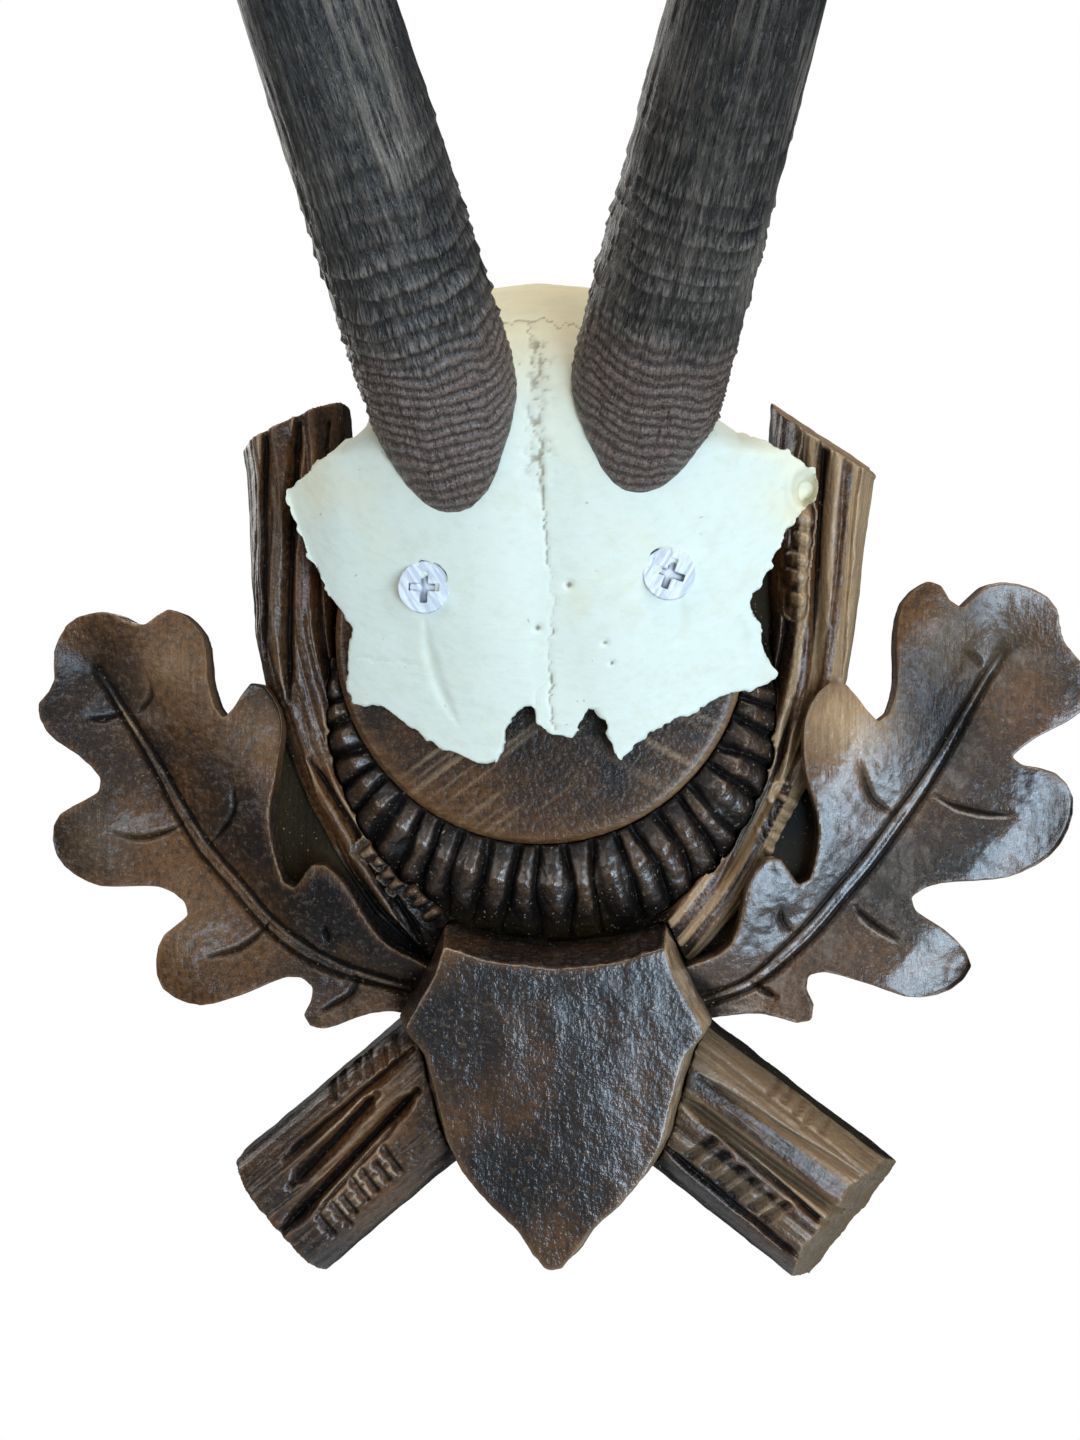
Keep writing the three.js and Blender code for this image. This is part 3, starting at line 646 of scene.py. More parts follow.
def make_horn(side, settings):
    foot_x, foot_z, lean = HORN_FEET[side]
    piece = horn_tube("horn_sheath_" + side, settings.sides, settings.rings)
    shape = points_of(piece) * MM
    turn = np.arctan2(shape[:, 1], shape[:, 0])
    share = np.clip(shape[:, 2], 0, 1)
    s = -HORN_ROOT + share**1.35 * (HORN_LENGTH + HORN_ROOT)
    lengths, centres, headings = horn_axis(foot_x, foot_z, lean)
    centre = np.stack([np.interp(s, lengths, column) for column in centres.T], 1)
    heading = np.stack([np.interp(s, lengths, column) for column in headings.T], 1)
    across = np.array([math.cos(math.radians(lean)), 0, -math.sin(math.radians(lean))])
    sideways = across - heading * (heading @ across)[:, None]
    sideways /= np.linalg.norm(sideways, axis=1)[:, None]
    rise = np.cross(heading, sideways)

    reach = np.clip(s / HORN_LENGTH, 0, 1)
    radius = 0.8 + 14.1 * (1 - 0.52 * reach - 0.48 * reach**3)
    ring = rows(np.cos(turn), np.sin(turn), np.zeros(len(s)))
    offset = 7 if side == "left" else 107
    lie = rows(np.cos(turn) * 15, np.sin(turn) * 15, s)
    sway = 1.5 * rough(rows(ring[:, 0] * 1.6, ring[:, 1] * 1.6, s / 13), offset)
    place = (s + sway) / (settings.ridge_pitch / MM) + 0.6 * noise(rows(s / 9, s * 0, s * 0), offset + 2)
    fall = place - np.floor(place)
    lip = smoothstep(fall, 0, 0.2) * (1 - fall) ** 1.4
    size = 0.7 + 0.45 * noise(rows(np.floor(place), ring[:, 0] * 1.3, ring[:, 1] * 1.3), offset + 5)
    ridged = (0.6 + 0.4 * smoothstep(s, 10, 22)) * (1 - 0.93 * smoothstep(s, 32, 72))
    fibres = noise(rows(ring[:, 0] * 13, ring[:, 1] * 13, s / 15), offset + 9)
    threads = noise(rows(ring[:, 0] * 21, ring[:, 1] * 21, s / 4), offset + 12)
    flutes = noise(rows(ring[:, 0] * 5, ring[:, 1] * 5, s / 60), offset + 15)
    frayed = np.clip(0.8 + 0.6 * threads, 0, 1.4)
    low = 1 - smoothstep(s, 12, 26)
    fine_rings = low * np.cos(2 * np.pi * (s + 1.2 * sway) / 2.2)
    height = settings.ridge_height / MM * ridged * lip * size * frayed
    height += 0.17 * fine_rings * (1 + 0.9 * threads) + 0.1 * low * threads
    depth_share = smoothstep(s, 20, 60) * (1 - 0.6 * smoothstep(reach, 0.5, 0.95))
    height += settings.fibre_depth / MM * (fibres * depth_share + 0.6 * threads * (0.35 + 0.65 * ridged))
    height += 0.3 * flutes * smoothstep(s, 40, 90) * (1 - reach)

    def around(size_now):
        right, up = size_now * np.cos(turn), size_now * np.sin(turn)
        return centre + sideways * right[:, None] + rise * up[:, None]

    points = around(radius)
    gap = -points[:, 1] - bone_depth(points[:, 0], points[:, 2])
    radius = radius + height * np.clip(radius / 6, 0.1, 1) * (0.15 + 0.85 * smoothstep(gap, 0, 3.5))
    gap += 0.25 * noise(rows(ring[:, 0] * 5, ring[:, 1] * 5, s * 0), offset + 18)
    tuck = np.clip(1 - gap / 1.5, 0, 1)
    radius = radius - 1.2 * (1 - np.sqrt(np.maximum(0, 1 - tuck**2))) - np.clip(-gap, 0, 1.5)
    radius = np.where(share > 0.999, 0.05, radius)
    place_points(piece, around(radius))

    # Paler scuffs on each horn's right side: partly wear, partly painted light on the side the light falls on
    scuffed_and_lit_side = -1.1 if side == "left" else -0.25
    worn = 0.2 + 1.2 * bell(turn - scuffed_and_lit_side, 0.38)
    worn *= smoothstep(s, 34, 52) if side == "left" else smoothstep(s, 12, 40)
    scuff = np.clip(worn * (0.55 + 0.9 * rough(lie / np.array([5, 5, 11]), offset + 30)), 0, 1)
    note(piece, "lie", lie)
    note(piece, "brown", 1 - smoothstep(s + 3 * rough(lie / 7, offset + 40), 10, 24))
    note(piece, "crest", np.clip(ridged * lip * size * (1 - low) + 0.5 * (low + fine_rings), 0, 1))
    note(piece, "scuff", scuff)
    note_hollows(piece)
    finish_piece(piece, "horn_" + side, "horn", horn_finish())


def make_screw(side):
    low, high = (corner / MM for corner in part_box("screw_" + side))
    centre_x, centre_z = (low[0] + high[0]) / 2, (low[2] + high[2]) / 2
    face, radius = -low[1], (high[0] - low[0]) / 2
    bpy.ops.object.select_all(action="DESELECT")
    bpy.ops.mesh.primitive_cylinder_add(
        vertices=64,
        radius=radius * MM,
        depth=5 * MM,
        location=(centre_x * MM, -(face - 2.5) * MM, centre_z * MM),
        rotation=(math.pi / 2, 0, 0),
    )
    piece = bpy.context.object
    piece.name = "painted_screw_" + side
    bpy.ops.object.transform_apply(location=True, rotation=True, scale=True)
    for quarter in (0, 90):
        use(piece)
        bpy.ops.object.select_all(action="DESELECT")
        bpy.ops.mesh.primitive_cube_add(
            size=1,
            location=(centre_x * MM, -face * MM, centre_z * MM),
            rotation=(0, math.radians(SCREW_TURNS[side] + quarter), 0),
        )
        cutter = bpy.context.object
        cutter.scale = (6.2 * MM, 2.9 * MM, 1.5 * MM)
        bpy.ops.object.transform_apply(location=True, rotation=True, scale=True)
        apply(piece, "BOOLEAN", operation="DIFFERENCE", object=cutter, solver="EXACT")
        bpy.data.objects.remove(cutter)
    apply(piece, "REMESH", mode="VOXEL", voxel_size=0.11 * MM)
    apply(piece, "SMOOTH", factor=0.5, iterations=5)
    points = points_of(piece)
    front = smoothstep(-points[:, 1], face - 1.6, face - 0.6)
    lean = math.radians(35 if side == "left" else -30)
    strokes = np.stack(
        [
            (points[:, 0] * math.cos(lean) + points[:, 2] * math.sin(lean)) / 0.55,
            (points[:, 2] * math.cos(lean) - points[:, 0] * math.sin(lean)) / 4,
            np.zeros(len(points)),
        ],
        1,
    )
    blobs = rough(rows(points[:, 0] / 1.3, points[:, 2] / 1.3, points[:, 1]), 75)
    points[:, 1] -= front * (0.06 * rough(strokes, 71) + 0.05 * blobs)
    if side == "left":
        filled = smoothstep(centre_x - points[:, 0], 0.2, 1.4) * (-points[:, 1] < face - 0.35)
        inside = np.hypot(points[:, 0] - centre_x, points[:, 2] - centre_z) < 2.9
        points[:, 1] -= 0.65 * filled * inside
    place_points(piece, points)
    note(piece, "strokes", np.clip(0.5 + 0.5 * rough(strokes, 71), 0, 1))
    note_hollows(piece)
    finish_piece(piece, "screw_" + side, "screw_paint", paint_finish())


def leaf_depth(side, x, z):
    _, aside, _ = beside(curve(MIDRIBS[side]), x, z)
    off = np.abs(aside)
    rise = 6.3 * np.sin(np.minimum(off / 20, 1) * np.pi / 2)
    droop = 0.018 * np.maximum(0, off - 17) ** 2
    return 15.2 + rise - droop


def make_leaf(side, settings):
    piece, points, normals, x, z = opened(blank("oak_leaf_" + side, settings.fineness, 10))
    depth = -points[:, 1]
    lie = leaf_depth(side, x, z)
    front = smoothstep(-normals[:, 1], 0.25, 0.7) * (np.abs(depth - lie) < 3.2)
    front = relaxed(piece, front[:, None], 3)[:, 0]
    along, aside, length = beside(curve(MIDRIBS[side]), x, z)
    spread = settings.rib_spread / MM * (0.55 + 0.45 * smoothstep(along, 0, 0.5 * length))
    spread *= 1 - 0.35 * smoothstep(along, 0.75 * length, length)
    cuts = bell(np.abs(aside) - spread, 0.5) * (0.3 + 0.7 * smoothstep(along, 0, 8))
    ridge = np.exp(-((aside / (0.6 * spread)) ** 4))
    veins = np.zeros(len(x))
    swell = np.zeros(len(x))
    for route in VEINS[side]:
        veins = np.maximum(veins, gouge(route, x, z, 0.65))
        swell = np.maximum(swell, gouge(route, x, z, 5))
    places = rows(x, z, np.zeros(len(x)))
    marks = settings.tool_marks / MM * (rough(places / 8, 81) + 0.25 * rough(places / 1.7, 84))
    cut = settings.vein_depth / MM
    carved = lie + marks - 1.25 * cut * cuts + 0.35 * ridge - 1.35 * cut * veins - 0.7 * swell
    points[:, 1] = -(depth + front * (carved - depth))
    stalk_x, stalk_z = MIDRIBS[side][-1]
    points[:, 0] -= math.copysign(3.2, stalk_x) * bell(np.hypot(x - stalk_x, z - stalk_z), 7)
    place_points(piece, points)
    apply(piece, "SMOOTH", factor=0.3, iterations=1)
    rubbed = sum(share * bell(np.hypot(x - gx, z - gz), reach) for gx, gz, reach, share in RUBBED[side])
    stain = sum(
        change * bell(np.hypot(x - gx, z - gz), reach) for gx, gz, reach, change in LEAF_STAINS[side]
    )
    wax = 0.75 * (1 - smoothstep(z, -32, -14) * (1 - smoothstep(x, 86, 96))) - 0.3 if side == "right" else 0
    finish_wood(piece, "oak_leaf_" + side, points_of(piece), np.clip(rubbed, 0, 1), stain, wax)


def finish_wood(piece, node, lie, pale=0, stain=0, wax=0):
    """Keeps the way the grain runs, the pale places (rubbed and bare wood, and painted light on faces turned
    to the light), the stain and the wax, then stains the piece.
    """
    even = np.zeros(len(lie))
    note(piece, "lie", lie)
    note(piece, "pale", even + pale)
    note(piece, "warm", even + stain + WARMTH.get(node, 0))
    note(piece, "wax", even + wax + WAX.get(node, 0.4))
    note_hollows(piece)
    finish_piece(piece, node, "wood", bpy.data.materials.get("carved_wood") or wood_finish())


def make_branch(node, settings):
    piece, points, normals, x, z = opened(blank(node, settings.fineness, 4))
    route = curve(BRANCHES[node])
    along, aside, _ = beside(route, x, z)
    front = smoothstep(-normals[:, 1], 0.1, 0.5)
    seed = sum(ord(letter) for letter in node)
    half = BRANCH_HALF_WIDTHS[node]
    flutes = 1.6 * np.sin(2 * np.pi * (np.clip(aside / half, -1, 1) + 1)) ** 2
    cut = np.zeros(len(x))
    zeros = np.zeros(len(x))
    generator = np.random.default_rng(seed)
    for number in range(int(half * 0.9)):
        middle = generator.uniform(-0.95, 0.95) * half
        width = generator.uniform(0.3, 0.6)
        wander = 0.9 * noise(rows(along / 22, zeros + number * 7.3, zeros), seed)
        stroke = smoothstep(noise(rows(along / 17, zeros + number * 3.1, zeros + 9), seed), -0.35, 0.1)
        line = generator.uniform(0.3, 0.8) * stroke * bell(aside - middle - wander, width)
        cut = np.maximum(cut, line)
    for line, width, depth in GOUGES[node]:
        cut = np.maximum(cut, settings.gouge_depth / MM * depth * gouge(line, x, z, width, blunt=3))
    for row in NOTCH_ROWS[node]:
        cut = np.maximum(cut, settings.notch_depth / MM * notches(row, x, z))
    raised = np.zeros(len(x))
    for row in BEAD_ROWS[node]:
        height = beads(row, x, z)
        cut = np.where(height != 0, 0, cut)
        raised += 0.85 * settings.notch_depth / MM * height
    fibre = rough(rows(aside / 0.9, points[:, 1] / 0.9, along / 16), seed + 3)
    lumps = rough(rows(x / 7, points[:, 1] / 7, z / 7), seed + 6)
    points[:, 1] += front * (cut - raised - 0.75 * flutes - 0.14 * fibre)
    points += normals * (settings.tool_marks / MM * lumps)[:, None]
    points[:, 1] = np.minimum(points[:, 1], -0.02)
    place_points(piece, points)
    apply(piece, "SMOOTH", factor=0.3, iterations=1)
    lie = rows(aside, points[:, 1], along)
    # Faces turned right and to the front are painted paler: painted light on the side the light falls on,
    # strongest on the upper right branch
    painted_light_strength = 0.9 if node == "branch_upper_right" else 0.4
    facing = smoothstep(normals[:, 0], -0.12, 0.4) * smoothstep(-normals[:, 1], 0.02, 0.4)
    painted_light = painted_light_strength * facing * ("right" in node)
    finish_wood(piece, node, lie, np.maximum(painted_light, cut_ends(node, route, normals)))


def cut_ends(node, route, normals):
    """Share of bare sawn wood, on the faces that close a branch's free end."""
    first, second = (route[0], route[1]) if "upper" in node else (route[-1], route[-2])
    outwards = np.array([first[0] - second[0], 0, first[1] - second[1]])
    outwards /= np.linalg.norm(outwards)
    bare = {"branch_lower_right": 0.25, "branch_upper_right": 0.8}.get(node, 0.3)
    return bare * smoothstep(normals @ outwards, 0.6, 0.85)


def make_border(settings):
    piece = blank("medallion_border", settings.fineness, 4)
    points = points_of(piece)
    normals = normals_of(piece)
    dx, dz = points[:, 0] - MEDALLION_CENTRE[0], points[:, 2] - MEDALLION_CENTRE[1]
    reach = np.hypot(dx, dz)
    angle = np.arctan2(dz, dx)
    zeros = np.zeros(len(angle))
    wobble = 0.035 * noise(rows(angle * 9, reach / 9, zeros), 91)
    phase = (angle + wobble) * GADROONS_PER_TURN / 2 / np.pi + 0.5
    number = np.floor(phase)
    off = (phase - number - 0.5) * 2 * np.pi * reach / GADROONS_PER_TURN
    half = np.pi * reach / GADROONS_PER_TURN
    front = smoothstep(-normals[:, 1], 0.0, 0.5)
    gap = bell(half - np.abs(off), 0.75)
    tall = 0.5 * noise(rows(number * 1.7, zeros, zeros), 93)
    places = points / 1.6
    ragged_cut = 0.24 * rough(places, 95)
    inner = 1 - smoothstep(reach, 44, 46.5)
    lift = tall + ragged_cut - 2.1 * gap * (1 - 0.6 * inner)
    points[:, 1] -= front * lift
    place_points(piece, points)
    apply(piece, "SMOOTH", factor=0.3, iterations=1)
    finish_wood(piece, "medallion_border", rows(off, points[:, 1], reach))


def make_shield(settings):
    piece, points, normals, x, z = opened(blank("shield", settings.fineness * 1.07, 8))
    front = smoothstep(-normals[:, 1], 0.5, 0.9)
    places = rows(x, points[:, 1], z)
    dome = 0.9 * np.exp(-((x / 22) ** 2) - ((z + 92) / 30) ** 2)
    marks = settings.tool_marks / MM * rough(places / 10, 101)
    points[:, 1] -= front * (dome + marks)
    top = smoothstep(normals[:, 2], 0.5, 0.85)
    striae = 0.35 * noise(rows(x / 1.1, points[:, 1] / 9, z / 20), 105)
    edge_marks = 0.3 * rough(places / 5, 107) * (1 - front)
    points += normals * (top * striae + edge_marks)[:, None]
    place_points(piece, points)
    apply(piece, "SMOOTH", factor=0.3, iterations=1)
    # The right flank near the front is painted paler: painted light on the side the light falls on
    rubbed = 0.85 * smoothstep(normals[:, 0], 0.3, 0.75) * smoothstep(-points[:, 1], 18, 27)
    finish_wood(piece, "shield", points_of(piece) * np.array([0.3, 0.3, 1]), rubbed)


def make_medallion(settings):
    piece, points, normals, x, z = opened(blank("medallion", settings.fineness * 1.4, 3))
    front = smoothstep(-normals[:, 1], 0.5, 0.9)
    places = rows(x / 30, z / 1.2, points[:, 1] / 30)
    points[:, 1] -= front * 0.07 * rough(places, 111)
    place_points(piece, points)
    flat = np.zeros(len(x))
    scuffs = np.clip(1.2 * noise(rows(x / 22 + z / 30, (z - 0.75 * x) / 0.9, flat), 115) - 0.25, 0, 1)
    left = bell(np.hypot(x + 12, z + 28), 13) + 0.7 * bell(np.hypot(x + 31, z + 22), 10)
    right_scuffs = np.clip(1.2 * noise(rows(x / 22 - z / 30, (z + 0.5 * x) / 0.9, flat), 118) - 0.25, 0, 1)
    right = bell(np.hypot((x - 26) / 1.4, z + 20), 10)
    rim = bell(np.hypot(x - MEDALLION_CENTRE[0], z - MEDALLION_CENTRE[1]) - 43.2, 0.5)
    pale = front * (scuffs * np.clip(left, 0, 1) + right_scuffs * right) + 0.5 * rim * smoothstep(x, 0, 30)
    lie = rows(z, points[:, 1], x)
    finish_wood(piece, "medallion", lie, 0.8 * np.clip(pale, 0, 1))


def make_board(settings):
    piece = blank("back_board", settings.fineness * 2, 2)
    points = points_of(piece)
    for side in (-1, 1):
        near = bell(np.hypot(points[:, 0] - 29 * side, points[:, 2] + 79), 8)
        points[:, 0] += 6 * side * near
    place_points(piece, points)
    finish_wood(piece, "back_board", points_of(piece))


def note_recesses():
    """Keeps how deep the wood lies behind what stands around it, where stain and dust gather and where shade
    is painted.
    """
    pieces = [o for o in bpy.context.scene.objects if o.get("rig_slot") == "wood" and "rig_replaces" in o]
    size = 340
    tops = np.zeros((size, size))
    for piece in pieces:
        points = points_of(piece)
        column, row = (np.round(points[:, axis] + size / 2).astype(int) for axis in (0, 2))
        np.maximum.at(tops, (column, row), -points[:, 1])
    covered = (tops > 0).astype(float)
    swing = np.arange(-18, 19)
    brush = bell(swing, 7)

    def blurred(sheet):
        once = np.apply_along_axis(lambda line: np.convolve(line, brush, mode="same"), 0, sheet)
        return np.apply_along_axis(lambda line: np.convolve(line, brush, mode="same"), 1, once)

    around = blurred(tops) / np.maximum(blurred(covered), 1e-6)
    for piece in pieces:
        points = points_of(piece)
        column, row = (np.round(points[:, axis] + size / 2).astype(int) for axis in (0, 2))
        # Extra darkening of the piece: stain and painted shade
        stain = EXTRA_STAIN_AND_SHADE.get(piece.name, 0)
        note(piece, "recess", np.clip(around[column, row] + points[:, 1] + stain, -10, 20))


class Finish:
    """A material whose nodes are added and joined by short calls."""

    def __init__(self, name):
        self.material = bpy.data.materials.new(name)
        self.material.use_nodes = True
        self.tree = self.material.node_tree
        self.tree.nodes.clear()
        output = self.tree.nodes.new("ShaderNodeOutputMaterial")
        self.shader = self.tree.nodes.new("ShaderNodeBsdfPrincipled")
        self.tree.links.new(self.shader.outputs[0], output.inputs[0])

    def join(self, value, socket):
        if isinstance(value, bpy.types.NodeSocket):
            self.tree.links.new(value, socket)
        else:
            socket.default_value = value

    def set(self, **values):
        for name, value in values.items():
            self.join(value, self.shader.inputs[name.replace("_", " ")])

    def noted(self, name, output="Fac"):
        source = self.tree.nodes.new("ShaderNodeAttribute")
        source.attribute_name = name
        return source.outputs[output]

    def place(self):
        return self.tree.nodes.new("ShaderNodeTexCoord").outputs["Object"]

    def noise(self, place, scale, detail=3, roughness=0.5):
        moved = self.tree.nodes.new("ShaderNodeVectorMath")
        moved.operation = "MULTIPLY"
        self.tree.links.new(place, moved.inputs[0])
        moved.inputs[1].default_value = scale
        source = self.tree.nodes.new("ShaderNodeTexNoise")
        source.inputs["Scale"].default_value = 1
        source.inputs["Detail"].default_value = detail
        source.inputs["Roughness"].default_value = roughness
        self.tree.links.new(moved.outputs[0], source.inputs["Vector"])
        return source.outputs["Fac"]

    def span(self, value, low, high, start=0.0, end=1.0):
        source = self.tree.nodes.new("ShaderNodeMapRange")
        source.interpolation_type = "SMOOTHSTEP"
        for socket, number in zip(source.inputs, (value, low, high, start, end)):
            self.join(number, socket)
        return source.outputs[0]

    def math(self, operation, first, second):
        source = self.tree.nodes.new("ShaderNodeMath")
        source.operation = operation
        self.join(first, source.inputs[0])
        self.join(second, source.inputs[1])
        return source.outputs[0]

    def mix(self, share, first, second):
        source = self.tree.nodes.new("ShaderNodeMix")
        source.data_type = "RGBA"
        sockets = (source.inputs[0], source.inputs[6], source.inputs[7])
        for socket, value in zip(sockets, (share, first, second)):
            if isinstance(value, tuple):
                value = (*value, 1)
            self.join(value, socket)
        return source.outputs[2]

    def bump(self, height, distance, strength=1.0, under=None):
        source = self.tree.nodes.new("ShaderNodeBump")
        source.inputs["Strength"].default_value = strength
        source.inputs["Distance"].default_value = distance
        self.tree.links.new(height, source.inputs["Height"])
        if under is not None:
            self.tree.links.new(under, source.inputs["Normal"])
        return source.outputs["Normal"]


def wood_finish():
    finish = Finish("carved_wood")
    lie = finish.noted("lie", "Vector")
    place = finish.place()
    grain = finish.noise(lie, (1.3, 1.3, 0.07), 4, 0.65)
    pebbles = finish.noise(place, (780, 780, 780), 2, 0.6)
    patches = finish.noise(place, (34, 34, 34), 4)
    warmth = finish.math("ADD", finish.noise(place, (42, 42, 34), 3), finish.noted("warm"))
    specks = finish.noise(place, (1500, 1500, 1500), 1)
    edge = finish.noted("edge")
    hollow = finish.noted("hollow")
    recess = finish.noted("recess")
    pale = finish.noted("pale")
    wax = finish.noted("wax")

    colour = finish.mix(finish.span(patches, 0.36, 0.66), (0.009, 0.007, 0.0075), (0.03, 0.016, 0.01))
    colour = finish.mix(finish.span(warmth, 0.4, 0.74, 0, 0.8), colour, (0.15, 0.062, 0.018))
    colour = finish.mix(finish.span(grain, 0.45, 0.7, 0, 0.35), colour, (0.006, 0.0042, 0.0035))
    colour = finish.mix(finish.span(pebbles, 0.54, 0.34, 0, 0.6), colour, (0.006, 0.004, 0.0033))
    # Pale specks on the pebbled grain: painted glints
    colour = finish.mix(finish.span(pebbles, 0.54, 0.68, 0, 0.45), colour, (0.12, 0.08, 0.055))
    worn = finish.math("MULTIPLY", finish.span(hollow, -0.25, -1.1), finish.span(grain, 0.25, 0.6, 1, 0.3))
    colour = finish.mix(finish.math("MULTIPLY", worn, 0.7), colour, (0.2, 0.095, 0.036))
    rubbed = finish.math("MULTIPLY", finish.span(edge, -0.09, -0.34), finish.span(warmth, 0.35, 0.6))
    colour = finish.mix(finish.math("MULTIPLY", rubbed, 0.75), colour, (0.38, 0.26, 0.15))
    # Hollows and recesses go near black: partly darker stain, partly painted shade
    dark = finish.math("MAXIMUM", finish.span(hollow, 0.08, 0.7), finish.span(recess, 1, 6))
    colour = finish.mix(finish.math("MULTIPLY", dark, 0.92), colour, (0.0042, 0.0033, 0.003))
    grime = finish.math("MULTIPLY", finish.span(recess, 5, 11), finish.span(patches, 0.38, 0.6, 0.1, 0.8))
    colour = finish.mix(grime, colour, (0.036, 0.024, 0.009))
    # Pale wood: rubbed and bare places, and painted light on faces turned to the light
    bare = finish.math("MULTIPLY", pale, finish.span(grain, 0.25, 0.72, 1, 0.55))
    colour = finish.mix(bare, colour, (0.55, 0.365, 0.205))
    dust = finish.math("MULTIPLY", finish.span(specks, 0.68, 0.76), finish.span(recess, -1, 6, 0.2, 0.8))
    colour = finish.mix(dust, colour, (0.38, 0.3, 0.17))

    # Less gloss where the hollows and recesses are stained dark and painted with shade
    outside_recesses = finish.span(dark, 0, 1, 1, 0.2)
    sheen = finish.span(pebbles, 0.3, 0.7, 0.34, 0.2)
    ground = finish.bump(pebbles, 0.0003)
    finish.set(
        Base_Color=colour,
        Roughness=finish.math("ADD", sheen, finish.span(dark, 0, 1, 0, 0.3)),
        Normal=finish.bump(grain, 0.00022, under=ground),
        Specular_IOR_Level=finish.math("MULTIPLY", outside_recesses, finish.span(wax, 0, 1, 0.3, 0.8)),
        Coat_Weight=finish.math("MULTIPLY", outside_recesses, wax),
        Coat_Roughness=0.24,
    )
    return finish.material


def bone_finish():
    finish = Finish("dry_bone")
    place = finish.place()
    clouds = finish.noise(place, (45, 45, 45), 4)
    grain = finish.noise(place, (260, 900, 520), 4, 0.6)
    specks = finish.noise(place, (620, 620, 620), 2)
    seam = finish.noted("seam")
    edge = finish.noted("edge")
    hollow = finish.noted("hollow")
    yellow = finish.math("ADD", finish.noted("yellow"), finish.span(clouds, 0.35, 0.75, -0.15, 0.35))

    colour = finish.mix(finish.span(yellow, 0.0, 1.1), (0.8, 0.85, 0.745), (0.9, 0.79, 0.53))
    colour = finish.mix(finish.span(grain, 0.45, 0.75, 0, 0.2), colour, (0.62, 0.6, 0.48))
    stains = finish.noise(place, (130, 130, 130), 5, 0.65)
    colour = finish.mix(finish.span(stains, 0.5, 0.72, 0, 0.3), colour, (0.7, 0.66, 0.47))
    # Browner in the hollows: painted shade
    colour = finish.mix(finish.span(hollow, 0.12, 0.9, 0, 0.5), colour, (0.55, 0.47, 0.33))
    # Brown seams, pits and porous bone; the strip between the horns in this share is painted shade
    colour = finish.mix(finish.span(seam, 0.2, 0.9, 0, 0.8), colour, (0.25, 0.19, 0.115))
    colour = finish.mix(finish.span(specks, 0.73, 0.79, 0, 0.5), colour, (0.36, 0.3, 0.22))
    worn = finish.bump(grain, 0.00012)
    finish.set(
        Base_Color=colour,
        Roughness=finish.span(clouds, 0.3, 0.7, 0.5, 0.62),
        Normal=worn,
        Subsurface_Weight=0.06,
        Subsurface_Radius=(0.002, 0.0015, 0.001),
        Subsurface_Scale=0.6,
        Specular_IOR_Level=0.35,
    )
    finish.join(finish.bump(edge, 0.0001, 0.3, under=worn), finish.shader.inputs["Normal"])
    return finish.material


def horn_finish():
    made = bpy.data.materials.get("ringed_horn")
    if made:
        return made
    finish = Finish("ringed_horn")
    lie = finish.noted("lie", "Vector")
    fibres = finish.noise(lie, (1.05, 1.05, 0.06), 4, 0.65)
    threads = finish.noise(lie, (1.9, 1.9, 0.4), 3, 0.65)
    hatch = finish.noise(lie, (1.2, 1.2, 2.6), 4, 0.7)
    clouds = finish.noise(lie, (0.12, 0.12, 0.045), 3)
    brown = finish.noted("brown")
    crest = finish.noted("crest")
    scuff = finish.noted("scuff")
    hollow = finish.noted("hollow")
    edge = finish.noted("edge")

    colour = finish.mix(finish.span(clouds, 0.35, 0.7), (0.007, 0.0065, 0.0065), (0.022, 0.018, 0.0155))
    colour = finish.mix(finish.span(fibres, 0.5, 0.75, 0, 0.6), colour, (0.13, 0.11, 0.09))
    # Paler ring crests: painted highlight
    lit = finish.math("MULTIPLY", crest, finish.span(threads, 0.4, 0.7))
    colour = finish.mix(finish.math("MULTIPLY", lit, 0.95), colour, (0.46, 0.39, 0.33))
    cloudy = finish.span(clouds, 0.3, 0.6, 0.25, 0.8)
    streaks = finish.math("MULTIPLY", finish.span(threads, 0.56, 0.7), cloudy)
    colour = finish.mix(streaks, colour, (0.19, 0.155, 0.12))
    ringed = finish.math("MULTIPLY", finish.span(hatch, 0.32, 0.62), finish.span(crest, 0.1, 0.75, 0.4, 1))
    rust = finish.mix(ringed, (0.016, 0.01, 0.009), (0.26, 0.175, 0.14))
    colour = finish.mix(finish.math("MULTIPLY", brown, 0.85), colour, rust)
    # Paler scuffed patches: partly wear, partly painted light on the horns' right sides
    rubbed = finish.math("MULTIPLY", scuff, finish.span(fibres, 0.35, 0.62))
    colour = finish.mix(finish.math("MULTIPLY", rubbed, 0.75), colour, (0.3, 0.25, 0.2))
    # Near black in the hollows: painted shade
    colour = finish.mix(finish.span(hollow, 0.08, 0.5, 0, 0.8), colour, (0.006, 0.005, 0.005))
    colour = finish.mix(finish.span(edge, -0.05, -0.22, 0, 0.35), colour, (0.17, 0.13, 0.1))
    ground = finish.bump(fibres, 0.0008)
    finish.set(
        Base_Color=colour,
        Roughness=finish.span(threads, 0.3, 0.7, 0.2, 0.4),
        Normal=finish.bump(threads, 0.0005, under=ground),
        Specular_IOR_Level=0.7,
    )
    return finish.material


